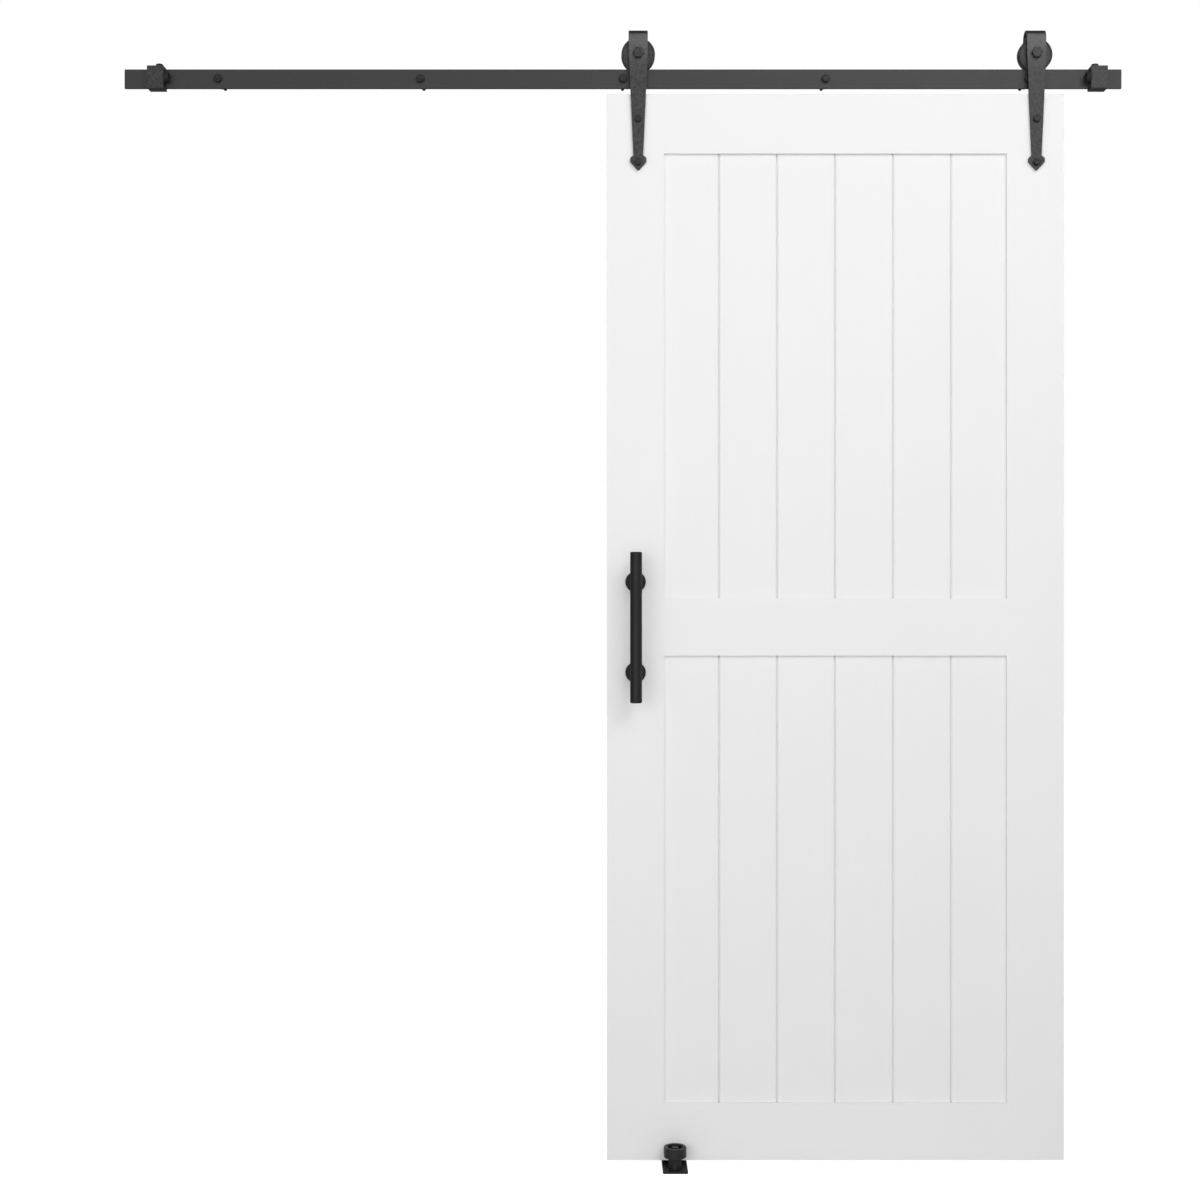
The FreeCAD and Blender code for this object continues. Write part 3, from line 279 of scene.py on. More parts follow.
def shade(base, factor):
    """A colour made darker or lighter."""
    return tuple(min(1.0, channel * factor) for channel in base)


ROUND = (1.0, 1.0, 1.0)
GRAIN_UP = (1.0, 1.0, 0.035)
GRAIN_ACROSS = (0.035, 1.0, 1.0)


def sand_coat(name, base, contrast, mottle):
    """Fine textured powder coat: raised grains, darker pits, mottling and faint cloudy patches."""
    finish = Finish(name)
    finish.shader.inputs["Specular IOR Level"].default_value = 0.42
    layers = (
        ("cloud", 0.55, ROUND, 2.0, 0.40, -0.16, 0.050),
        ("specks", 1.5, ROUND, 0.0, 0.35, 0.10, 0.030),
        ("cloud", 4.2, ROUND, 1.0, mottle, 0.20, 0.0),
        ("cloud", 28.0, ROUND, 3.0, 0.35, 0.12, 0.0),
    )
    return finish.build(shade(base, 1.0 - contrast), shade(base, 1.0 + contrast), 0.50, layers)


def strap_coat(name, base):
    """The same coat on the straps, with a painted highlight that turns it paler towards the bend over the
    wheel.
    """
    finish = Finish(name)
    finish.shader.inputs["Specular IOR Level"].default_value = 0.42
    layers = (
        ("cloud", 0.55, ROUND, 2.0, 0.10, -0.16, 0.050),
        ("specks", 1.5, ROUND, 0.0, 0.08, 0.10, 0.030),
        ("cloud", 4.2, ROUND, 1.0, 0.95, 0.20, 0.0),
        ("cloud", 28.0, ROUND, 3.0, 0.20, 0.12, 0.0),
    )
    dark, light = shade(base, 0.3), shade(base, 4.0)
    # The paler band from 0 up to the bend's crown at 86 mm is a painted highlight, not wear.
    return finish.build(dark, light, 0.48, layers, centre=0.165, rubbed=(0.0, 0.080, 0.086, 0.68))


def worn_coat(name, base):
    """Coat rubbed down to steel in fine rings by rolling."""
    finish = Finish(name, metallic=0.55)
    layers = (
        ("cloud", 0.5, (0.2, 3.0, 0.2), 3.0, 0.9, -0.30, 0.012),
        ("cloud", 6.0, ROUND, 3.0, 0.7, 0.20, 0.004),
    )
    return finish.build(shade(base, 0.55), shade(base, 1.6), 0.42, layers)


def satin_coat(name, base):
    """Smooth satin lacquer with a trace of orange peel and handling marks."""
    finish = Finish(name)
    finish.shader.inputs["Specular IOR Level"].default_value = 0.38
    layers = (
        ("cloud", 1.4, ROUND, 1.0, 0.20, 0.04, 0.006),
        ("cloud", 16.0, (1.0, 1.0, 0.4), 4.0, 0.50, 0.22, 0.0),
    )
    return finish.build(shade(base, 0.75), shade(base, 1.3), 0.56, layers)


def black_oxide(name, base):
    """Black oxide on steel, rubbed a little where tools touch it."""
    finish = Finish(name, metallic=0.45)
    layers = (
        ("cloud", 0.8, ROUND, 3.0, 0.50, 0.18, 0.010),
        ("specks", 2.6, ROUND, 0.0, 0.50, 0.12, 0.006),
    )
    return finish.build(shade(base, 0.6), shade(base, 1.55), 0.44, layers)


def ground_steel(name, base):
    """Ground bearing steel with fine grinding lines and an oil film."""
    finish = Finish(name, metallic=1.0)
    layers = (
        ("cloud", 0.35, (0.15, 3.5, 0.15), 2.0, 0.40, 0.16, 0.003),
        ("cloud", 5.0, ROUND, 3.0, 0.50, 0.18, 0.0),
    )
    return finish.build(shade(base, 0.8), shade(base, 1.2), 0.24, layers)


def pressed_brass(name, base):
    finish = Finish(name, metallic=1.0)
    layers = (
        ("cloud", 0.5, ROUND, 3.0, 0.5, 0.15, 0.006),
        ("cloud", 4.0, ROUND, 2.0, 0.7, 0.15, 0.0),
    )
    return finish.build(shade(base, 0.7), shade(base, 1.15), 0.34, layers)


def zinc_plate(name, base):
    """Bright zinc with faint spangle and dull patches."""
    finish = Finish(name, metallic=1.0)
    layers = (
        ("specks", 1.8, ROUND, 0.0, 0.45, 0.20, 0.004),
        ("cloud", 7.0, ROUND, 4.0, 0.60, 0.25, 0.0),
        ("cloud", 0.4, ROUND, 2.0, 0.15, 0.05, 0.004),
    )
    return finish.build(shade(base, 0.72), shade(base, 1.15), 0.33, layers)


def moulded_rubber(name, base):
    finish = Finish(name)
    finish.shader.inputs["Specular IOR Level"].default_value = 0.35
    layers = (
        ("cloud", 0.45, ROUND, 3.0, 0.6, 0.12, 0.025),
        ("cloud", 9.0, ROUND, 3.0, 0.8, 0.20, 0.0),
    )
    return finish.build(shade(base, 0.7), shade(base, 1.7), 0.72, layers)


def moulded_plastic(name, base):
    """Moulded nylon: fine spark texture and slightly glossier rubbed patches."""
    finish = Finish(name)
    layers = (
        ("specks", 0.7, ROUND, 0.0, 0.3, 0.10, 0.014),
        ("cloud", 12.0, ROUND, 3.0, 0.7, 0.25, 0.0),
    )
    return finish.build(shade(base, 0.75), shade(base, 1.4), 0.46, layers)


def door_paint(name, base, grain):
    """Sprayed satin paint over wood: the grain telegraphs faintly along each member."""
    finish = Finish(name)
    finish.shader.inputs["Specular IOR Level"].default_value = 0.38
    layers = (
        ("cloud", 2.2, grain, 4.0, 0.55, 0.10, 0.020),
        ("cloud", 0.9, ROUND, 2.0, 0.15, 0.05, 0.005),
        ("cloud", 160.0, ROUND, 2.0, 0.60, 0.10, 0.0),
    )
    return finish.build(shade(base, 0.975), shade(base, 1.015), 0.48, layers)


def bare_wood(name, base):
    """Beech: streaks and short pores along the dowel."""
    finish = Finish(name)
    layers = (
        ("cloud", 1.1, (0.05, 1.0, 1.0), 5.0, 0.9, 0.15, 0.040),
        ("cloud", 9.0, (0.15, 1.0, 1.0), 3.0, 0.6, 0.10, 0.0),
    )
    return finish.build(shade(base, 0.72), shade(base, 1.2), 0.62, layers)


FINISHES = {}


def finish_for(slot):
    """The finish of one material slot, made once."""
    if slot in FINISHES:
        return FINISHES[slot]
    paint = colours()
    makers = {
        "powder_coat": lambda: sand_coat("sand_coat", paint.coat, 0.65, 3.4),
        "strap_coat": lambda: strap_coat("strap_coat", paint.coat),
        "rail_coat": lambda: sand_coat("rail_coat", paint.coat, 0.30, 0.8),
        "wheel_coat": lambda: sand_coat("wheel_coat_finish", paint.wheel, 0.60, 3.2),
        "worn_tread": lambda: worn_coat("worn_tread", paint.tread),
        "handle_coat": lambda: satin_coat("satin_black", paint.handle),
        "black_bolt": lambda: black_oxide("black_oxide", paint.bolt),
        # Painted light: the same black oxide as the other bolts, drawn 2.4 times paler on the axle bolts.
        "axle_oxide_painted_light": lambda: black_oxide("axle_oxide_painted_light", shade(paint.bolt, 2.4)),
        "bearing_steel": lambda: ground_steel("ground_steel", paint.steel),
        "cage_brass": lambda: pressed_brass("pressed_brass", paint.brass),
        "zinc_plate": lambda: zinc_plate("bright_zinc", paint.zinc),
        "bumper_rubber": lambda: moulded_rubber("moulded_rubber", paint.rubber),
        "guide_steel": lambda: sand_coat("guide_coat", paint.guide, 0.4, 1.6),
        "guide_plastic": lambda: moulded_plastic("moulded_nylon", paint.plastic),
        "painted_wood": lambda: door_paint("paint_upright", paint.paint, GRAIN_UP),
        "painted_across": lambda: door_paint("paint_across", paint.paint, GRAIN_ACROSS),
        "bare_wood": lambda: bare_wood("beech", paint.wood),
    }
    FINISHES[slot] = makers[slot]()
    return FINISHES[slot]


# Shapes


def facing(axis, spot):
    """Matrix from a turned piece's own frame, which runs along Z, to an axis such as "-Y" at a spot."""
    along = Vector({"X": (1, 0, 0), "Y": (0, 1, 0), "Z": (0, 0, 1)}[axis[-1]])
    if axis[0] == "-":
        along.negate()
    across = Vector((0, 1, 0)) if axis[-1] == "X" else Vector((1, 0, 0))
    third = along.cross(across)
    turn = Matrix((across, third, along)).transposed().to_4x4()
    return Matrix.Translation(spot) @ turn


def spin(bm, rings, place, steps, closed=False, slots=None):
    """Skins rings round a piece's own Z axis.

    A ring is (along, reach), or a function of the angle that gives them. A reach of 0 is a pole.
    """
    made = []
    for ring in rings:
        if not callable(ring) and ring[1] == 0.0:
            made.append([bm.verts.new(place @ Vector((0.0, 0.0, ring[0])))])
            continue
        verts = []
        for step in range(steps):
            angle = FULL_TURN * step / steps
            along, reach = ring(angle) if callable(ring) else ring
            verts.append(
                bm.verts.new(place @ Vector((reach * math.cos(angle), reach * math.sin(angle), along)))
            )
        made.append(verts)
    pairs = list(zip(made, made[1:]))
    if closed:
        pairs.append((made[-1], made[0]))
    for number, (low, high) in enumerate(pairs):
        for step in range(steps):
            after = (step + 1) % steps
            if len(low) == 1:
                face = bm.faces.new((low[0], high[after], high[step]))
            elif len(high) == 1:
                face = bm.faces.new((low[step], low[after], high[0]))
            else:
                face = bm.faces.new((low[step], low[after], high[after], high[step]))
            face.material_index = slots[number] if slots else 0


def rounded(points, radius, closed=False, steps=3):
    """A profile with its corners rounded; corners at a pole or in a straight run stay."""
    out = []
    count = len(points)
    straight = math.radians(170)
    for number, point in enumerate(points):
        here = Vector(point)
        if not closed and number in (0, count - 1):
            out.append(tuple(here))
            continue
        before = Vector(points[number - 1]) - here
        after = Vector(points[(number + 1) % count]) - here
        angle = before.angle(after, math.pi)
        if angle > straight:
            out.append(tuple(here))
            continue
        limit = 0.45 * min(before.length, after.length)
        cut = min(limit, radius / math.tan(angle / 2))
        start = here + before.normalized() * cut
        end = here + after.normalized() * cut
        for step in range(steps + 1):
            part = step / steps
            bend = start.lerp(here, part).lerp(here.lerp(end, part), part)
            out.append(tuple(bend))
    return out


def hexagon(flats):
    """Reach of a hexagon at an angle, one corner on the X axis."""
    return lambda angle: flats / 2.0 / math.cos(angle % (math.pi / 3.0) - math.pi / 6.0)


def cross(half_length, half_width):
    """Reach of a cross recess at an angle."""

    def reach(angle):
        side, up = abs(math.cos(angle)) + 1e-9, abs(math.sin(angle)) + 1e-9
        level = min(half_length / side, half_width / up)
        upright = min(half_width / side, half_length / up)
        return max(level, upright)

    return reach


CHAMFER = math.tan(math.radians(30))
FACE_CIRCLE = 0.475


def hex_rings(flats, bottom, top, land):
    """Rings of a chamfered hexagonal head from its lower face to its upper face."""
    reach = hexagon(flats)
    flat_circle = FACE_CIRCLE * flats
    sign = 1.0 if top > bottom else -1.0

    def chamfer(angle):
        over = max(0.0, reach(angle) - flat_circle)
        return top - sign * over * CHAMFER, reach(angle)

    foot = bottom + sign * land
    return [
        (bottom, flat_circle),
        (foot, flat_circle),
        lambda angle: (foot, reach(angle)),
        chamfer,
        (top, flat_circle),
    ]


def threaded(start, end, dia, pitch, ridge=0.5, point=0.0, depth=0.16):
    """Rings of a helical thread; a ridge under 0.5 gives thin ridges with wide valleys, as in wood screws."""
    radius = dia / 2.0
    groove = depth * dia
    tip = 0.5 * MM
    blunt = 0.12
    count = max(4, round((end - start) / (pitch / 8.0)))
    rings = []
    for number in range(count + 1):
        along = start + (end - start) * number / count

        def ring(angle, along=along):
            phase = (along / pitch - angle / FULL_TURN) % 1.0
            crest = max(0.0, 1.0 - abs(phase - 0.5) / ridge)
            run_in = min(1.0, (along - start) / pitch)
            run_out = min(1.0, max(0.0, (end - along) / (0.8 * pitch)))
            full = radius - groove * (1.0 - crest) * run_in
            if point:
                taper = min(1.0, (end - along) / point)
                return along, max(tip, full * (blunt + (1.0 - blunt) * taper))
            core = radius - groove * run_in
            return along, core + (full - core) * run_out

        rings.append(ring)
    return rings


def hex_bolt(flats, head, dia, reach, thread, pitch, thread_dia=None, point=0.0, ridge=0.5):
    """Rings of a hex bolt: bearing face at 0, head below it, tip at `reach`."""
    dish = sizes().head_dish
    fillet = 0.3 * MM
    land = 0.35 * MM
    neck = 0.5 * MM
    thread_dia = thread_dia or dia
    rings = [(-head + dish, 0.0), (-head + dish, 0.26 * flats), (-head, 0.33 * flats)]
    rings += list(reversed(hex_rings(flats, 0.0, -head, land)))
    rings += [(0.0, dia / 2 + fillet), (fillet, dia / 2), (reach - thread - neck, dia / 2)]
    rings += threaded(reach - thread, reach, thread_dia, pitch, ridge=ridge, point=point)
    rings.append((reach, 0.0))
    return rings


def hex_nut(flats, height, bore):
    """Closed rings of a nut from 0 to its height, chamfered at both faces."""
    sink = 0.5 * MM
    reach = hexagon(flats)
    circle = FACE_CIRCLE * flats

    def chamfer(angle):
        return max(0.0, reach(angle) - circle) * CHAMFER

    return [
        (sink, bore / 2),
        (0.0, bore / 2 + sink),
        (0.0, circle),
        lambda angle: (chamfer(angle), reach(angle)),
        lambda angle: (height - chamfer(angle), reach(angle)),
        (height, circle),
        (height, bore / 2 + sink),
        (height - sink, bore / 2),
    ]


def tube(outer, bore, length, edge):
    """Closed profile of a tube or washer."""
    corners = [(0.0, bore / 2), (0.0, outer / 2), (length, outer / 2), (length, bore / 2)]
    return rounded(corners, edge, closed=True)


def solids(node):
    """Low corner, high corner and centre of a CAD node's solids, from left to right and from the top down."""
    bm = bmesh.new()
    bm.from_mesh(frame["nodes"][node].data)
    bmesh.ops.remove_doubles(bm, verts=bm.verts, dist=WELD)
    boxes = []
    left = set(bm.verts)
    while left:
        group = [left.pop()]
        for vert in group:
            near = {edge.other_vert(vert) for edge in vert.link_edges} & left
            left -= near
            group.extend(near)
        low = Vector([min(vert.co[axis] for vert in group) for axis in range(3)])
        high = Vector([max(vert.co[axis] for vert in group) for axis in range(3)])
        boxes.append((low, high, (low + high) / 2.0))
    bm.free()
    return sorted(boxes, key=lambda box: (round(box[0].x, 4), -round(box[0].z, 4), round(box[0].y, 4)))


def piece(name, bm, slot, nodes, finishes=None, sharp=38.0):
    """Turns a mesh under construction into a piece that rides with the CAD nodes it replaces."""
    bmesh.ops.recalc_face_normals(bm, faces=bm.faces)
    mesh = bpy.data.meshes.new(name)
    bm.to_mesh(mesh)
    bm.free()
    mesh.shade_smooth()
    mesh.set_sharp_from_angle(angle=math.radians(sharp))
    for finish in finishes or (slot,):
        mesh.materials.append(finish_for(finish))
    item = bpy.data.objects.new(name, mesh)
    bpy.context.scene.collection.objects.link(item)
    weighted = item.modifiers.new("even_shading", "WEIGHTED_NORMAL")
    weighted.keep_sharp = True
    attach(item, frame["nodes"][nodes[0]]["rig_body"])
    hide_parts(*nodes)


def eased(name, node, slot, edge, finishes=None, steps=2, angle=28.0):
    """A CAD node's shape with its sharp edges rounded, as a piece of its own."""
    bm = bmesh.new()
    bm.from_mesh(frame["nodes"][node].data)
    bmesh.ops.remove_doubles(bm, verts=bm.verts, dist=2 * WELD)
    bmesh.ops.dissolve_limit(
        bm, angle_limit=math.radians(0.6), use_dissolve_boundaries=False, verts=bm.verts, edges=bm.edges
    )
    limit = math.radians(angle)
    corners = [e for e in bm.edges if len(e.link_faces) == 2 and e.calc_face_angle() > limit]
    bmesh.ops.bevel(
        bm,
        geom=corners,
        offset=edge,
        offset_type="OFFSET",
        segments=steps,
        profile=0.5,
        affect="EDGES",
        clamp_overlap=True,
    )
    piece(name, bm, slot, [node], finishes)


# Pieces


def tubes(name, node, slot, bore, edge):
    """Spacers, washers or bushes along Y, one for each solid of a CAD node."""
    bm = bmesh.new()
    for low, high, centre in solids(node):
        profile = tube(high.x - low.x, bore, high.y - low.y, edge)
        spin(bm, profile, facing("Y", (centre.x, low.y, centre.z)), sizes().round_steps // 2, closed=True)
    piece(name, bm, slot, [node])


def nuts(name, node, slot, dia):
    """Hex nuts along Y, one for each solid of a CAD node."""
    bm = bmesh.new()
    for low, high, centre in solids(node):
        rings = hex_nut(high.z - low.z, high.y - low.y, dia)
        spin(bm, rings, facing("Y", (centre.x, low.y, centre.z)), sizes().bolt_steps, closed=True)
    piece(name, bm, slot, [node])


def build_rail():
    """Flat bar and its wall spacers."""
    size = sizes()
    eased("flat_rail", "rail", "powder_coat", size.rail_edge, ("rail_coat",), steps=3)
    tubes("wall_spacers", "rail_spacers", "powder_coat", M8_HOLE, size.spacer_edge)


def build_lag_fixings():
    """Lag bolts and their washers."""
    size = sizes()
    tubes("lag_bolt_washers", "lag_washers", "black_bolt", M8_HOLE, size.turned_edge)
    thread_dia = 7.4 * MM
    point = 8.0 * MM
    bolts = bmesh.new()
    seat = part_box("lag_washers")[0].y
    for low, high, centre in solids("lag_bolts"):
        rings = hex_bolt(
            high.z - low.z,
            seat - low.y,
            M8_DIA,
            high.y - seat,
            high.y,
            size.lag_pitch,
            thread_dia=thread_dia,
            point=point,
            ridge=WOOD_RIDGE,
        )
        spin(bolts, rings, facing("Y", (centre.x, seat, centre.z)), size.bolt_steps)
    piece("lag_bolt_set", bolts, "black_bolt", ["lag_bolts"])


def bumper_profile(length, radius):
    """Closed profile of a rubber bumper with a waist and a sunk screw hole, from its stop outwards."""
    hole = 2.6 * MM
    head_hole = 4.6 * MM
    waist = radius - 0.45 * MM
    corner = 1.5 * MM
    rounding = 0.6 * MM
    points = [
        (0.0, hole),
        (0.0, radius),
        (0.34 * length, radius),
        (0.40 * length, waist),
        (0.52 * length, waist),
        (0.58 * length, radius),
        (length - corner, radius),
        (length, radius - corner),
        (length, head_hole),
        (0.40 * length, head_hole),
        (0.40 * length, hole),
    ]
    return rounded(points, rounding, closed=True)


def build_end_stops():
    """Clamps at both ends of the rail, with rubber bumpers and screws."""
    size = sizes()
    for side, axis in (("left", "X"), ("right", "-X")):
        eased(f"{side}_stop_clamp", f"{side}_stop_block", "powder_coat", size.stop_edge, steps=3)
        low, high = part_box(f"{side}_stop_bumper")
        centre = (low + high) / 2.0
        base = low.x if side == "left" else high.x
        profile = bumper_profile(high.x - low.x, (high.z - low.z) / 2.0)
        bm = bmesh.new()
        spin(bm, profile, facing(axis, (base, centre.y, centre.z)), size.round_steps, closed=True)
        piece(f"{side}_rubber_bumper", bm, "bumper_rubber", [f"{side}_stop_bumper"])
    screw_head_dia, screw_head, screw_dia = 8.6 * MM, 2.0 * MM, 5.0 * MM
    screws = bmesh.new()
    for (low, high, centre), axis in zip(solids("bumper_screws"), ("-X", "X")):
        face = high.x if axis == "-X" else low.x
        rings = pan_screw(screw_head_dia, screw_head, screw_dia, high.x - low.x)
        spin(screws, rings, facing(axis, (face, centre.y, centre.z)), size.bolt_steps)
    piece("bumper_fixing_screws", screws, "black_bolt", ["bumper_screws"])
    head = 5.5 * MM
    thread = 6.0 * MM
    clamp_screws = bmesh.new()
    for low, high, centre in solids("stop_clamp_screws"):
        seat = high.z - head
        rings = hex_bolt(M8_FLATS, head, M8_DIA, seat - low.z, thread, size.bolt_pitch)
        spin(clamp_screws, rings, facing("-Z", (centre.x, centre.y, seat)), size.bolt_steps)
    piece("stop_clamp_bolts", clamp_screws, "black_bolt", ["stop_clamp_screws"])


def pan_screw(head_dia, head, dia, reach):
    """Pan head screw with a cross recess: top at 0, tip at its reach."""
    recess = cross(0.30 * head_dia, 0.075 * head_dia)
    deep = 0.7 * head
    radius = head_dia / 2
    return [
        (deep, 0.0),
        lambda angle: (deep, 0.6 * recess(angle)),
        lambda angle: (0.06 * head, recess(angle)),
        (0.12 * head, 0.66 * radius),
        (0.28 * head, 0.88 * radius),
        (0.55 * head, radius),
        (head, radius),
        (head, dia / 2),
        *threaded(head + 0.4 * MM, reach, dia, sizes().small_pitch),
        (reach, 0.0),
    ]


def build_straps():
    """Bent hanger straps with their arrow heads."""
    for side in ("left", "right"):
        eased(
            f"{side}_hanger_strap",
            f"{side}_strap",
            "powder_coat",
            sizes().strap_edge,
            ("strap_coat",),
            steps=3,
        )


def wheel_profile(rim):
    """Closed profile of a grooved wheel along its axle, its bearing seat open to the back."""
    half = 10.0 * MM
    seat = 16.0 * MM
    lip = 13.5 * MM
    lip_face = 5.0 * MM
    boss = 17.0 * MM
    step = 1.2 * MM
    band = 3.0 * MM
    bottom = 4.0 * MM
    mouth = 5.2 * MM
    web = half - step
    points = [
        (-half, lip),
        (-half, boss),
        (-web, boss + step),
        (-web, rim - band - step),
        (-half, rim - band),
        (-half, rim - step),
        (-web, rim),
        (-mouth, rim),
        (-bottom, TREAD),
        (bottom, TREAD),
        (mouth, rim),
        (web, rim),
        (half, rim - step),
        (half, rim - band),
        (web, rim - band - step),
        (web, boss + step),
        (half, boss),
        (half, seat),
        (-lip_face, seat),
        (-lip_face, lip),
    ]
    return rounded(points, sizes().wheel_edge, closed=True)


def build_wheels():
    """Grooved wheels, their treads rubbed by the rail."""
    groove_half = 4.6 * MM
    groove_low = 28.0 * MM
    groove_high = 30.6 * MM
    for side in ("left", "right"):
        low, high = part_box(f"{side}_wheel")
        centre = (low + high) / 2.0
        profile = wheel_profile((high.z - low.z) / 2.0)
        worn = []
        for start, end in zip(profile, profile[1:] + profile[:1]):
            in_groove = abs(start[0]) < groove_half and start[1] > groove_low and end[1] < groove_high
            worn.append(int(in_groove))
        bm = bmesh.new()
        spin(bm, profile, facing("Y", centre), sizes().round_steps, closed=True, slots=worn)
        piece(f"{side}_rolling_wheel", bm, "wheel_coat", [f"{side}_wheel"], ("wheel_coat", "worn_tread"))


def build_bearings():
    """Ball bearings: races and balls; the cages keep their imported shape."""
    size = sizes()
    half = 5.0 * MM
    pitch = 11.0 * MM
    groove = 3.0 * MM
    edge = 0.45 * MM
    for side in ("left", "right"):
        for part, inner, outer in (("inner", 6.0 * MM, 9.0 * MM), ("outer", 13.0 * MM, 16.0 * MM)):
            node = f"{side}_bearing_{part}_race"
            low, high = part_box(node)
            centre = (low + high) / 2.0
            land = outer if part == "inner" else inner
            reach = math.sqrt(groove**2 - (land - pitch) ** 2)
            way = [(step / 8.0 * 2 - 1) * reach for step in range(9)]
            sign = -1.0 if part == "inner" else 1.0
            raceway = [(y, pitch + sign * math.sqrt(groove**2 - y**2)) for y in way]
            if part == "inner":
                profile = [
                    (-half + edge, inner), (half - edge, inner), (half, inner + edge), (half, land - edge / 2)
                ]
                profile += [(half - edge / 2, land)] + raceway[::-1] + [(-half + edge / 2, land)]
                profile += [(-half, land - edge / 2), (-half, inner + edge)]
            else:
                profile = [(-half, inner + edge / 2), (-half + edge / 2, inner)] + raceway
                profile += [(half - edge / 2, inner), (half, inner + edge / 2), (half, outer - edge)]
                profile += [(half - edge, outer), (-half + edge, outer), (-half, outer - edge)]
            bm = bmesh.new()
            spin(bm, profile, facing("Y", centre), size.round_steps, closed=True)
            piece(f"{side}_{part}_race_ring", bm, "bearing_steel", [node], sharp=30.0)
        balls = bmesh.new()
        for low, high, centre in solids(f"{side}_bearing_balls"):
            radius = (high.y - low.y) / 2.0
            bmesh.ops.create_icosphere(
                balls, subdivisions=4, radius=radius, matrix=Matrix.Translation(centre)
            )
        piece(f"{side}_ball_set", balls, "bearing_steel", [f"{side}_bearing_balls"])


def build_axle_fittings():
    """Axle bolts, distance bushes and nuts of both hangers."""
    size = sizes()
    thread = 14.0 * MM
    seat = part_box("left_strap")[0].y
    for side in ("left", "right"):
        low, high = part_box(f"{side}_axle_bolt")
        centre = (low + high) / 2.0
        bm = bmesh.new()
        rings = hex_bolt(M12_FLATS, seat - low.y, M12_DIA, high.y - seat, thread, size.axle_pitch)
        spin(bm, rings, facing("Y", (centre.x, seat, centre.z)), 2 * size.bolt_steps)
        # The axle bolts take the paler copy of the black oxide, which is painted light.
        piece(f"{side}_axle_hex_bolt", bm, "black_bolt", [f"{side}_axle_bolt"], ("axle_oxide_painted_light",))
    nuts("axle_hex_nuts", "axle_nuts", "black_bolt", M12_DIA)
    tubes("axle_distance_bushes", "axle_bushes", "zinc_plate", M12_DIA, size.turned_edge)


def build_door_bolts():
    """Bolts that hold the straps to the door, with washers and nuts behind it."""
    size = sizes()
    thread = 22.0 * MM
    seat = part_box("left_strap")[0].y
    bolts = bmesh.new()
    for low, high, centre in solids("door_bolts"):
        rings = hex_bolt(high.z - low.z, seat - low.y, M8_DIA, high.y - seat, thread, size.bolt_pitch)
        spin(bolts, rings, facing("Y", (centre.x, seat, centre.z)), size.bolt_steps)
    piece("strap_bolts", bolts, "black_bolt", ["door_bolts"])
    tubes("strap_bolt_washers", "door_bolt_washers", "zinc_plate", M8_HOLE, size.turned_edge)
    nuts("strap_bolt_nuts", "door_bolt_nuts", "zinc_plate", M8_DIA)


def build_door_frame():
    """Stiles, cross rails and the dowels between them."""
    size = sizes()
    for side in ("left", "right"):
        eased(f"{side}_door_stile", f"{side}_stile", "painted_wood", size.wood_edge)
    for level in ("top", "middle", "bottom"):
        eased(
            f"{level}_cross_rail", f"door_{level}_rail", "painted_wood", size.wood_edge, ("painted_across",)
        )
    flute = 0.35 * MM
    flutes = 16
    taper = 1.2 * MM
    taper_run = 1.0 * MM
    dowels = bmesh.new()
    for low, high, centre in solids("frame_dowels"):
        radius = (high.z - low.z) / 2.0
        end = (high.x - low.x) / 2.0

        def fluted(along, reach):
            return lambda angle: (along, reach - flute * abs(math.sin(flutes / 2.0 * angle)) ** 3)

        rings = [(-end, 0.0), (-end, radius - taper), fluted(-end + taper_run, radius)]
        rings += [fluted(end - taper_run, radius), (end, radius - taper), (end, 0.0)]
        spin(dowels, rings, facing("X", centre), size.round_steps)
    piece("fluted_dowels", dowels, "bare_wood", ["frame_dowels"])


def build_boards():
    """Tongue and groove boards in both fields of the door."""
    for field in ("upper", "lower"):
        for number in range(1, 7):
            name = f"{field}_board_{number}"
            eased(
                f"{field}_panel_board_{number}", name, "painted_wood", sizes().board_edge, steps=2, angle=20.0
            )


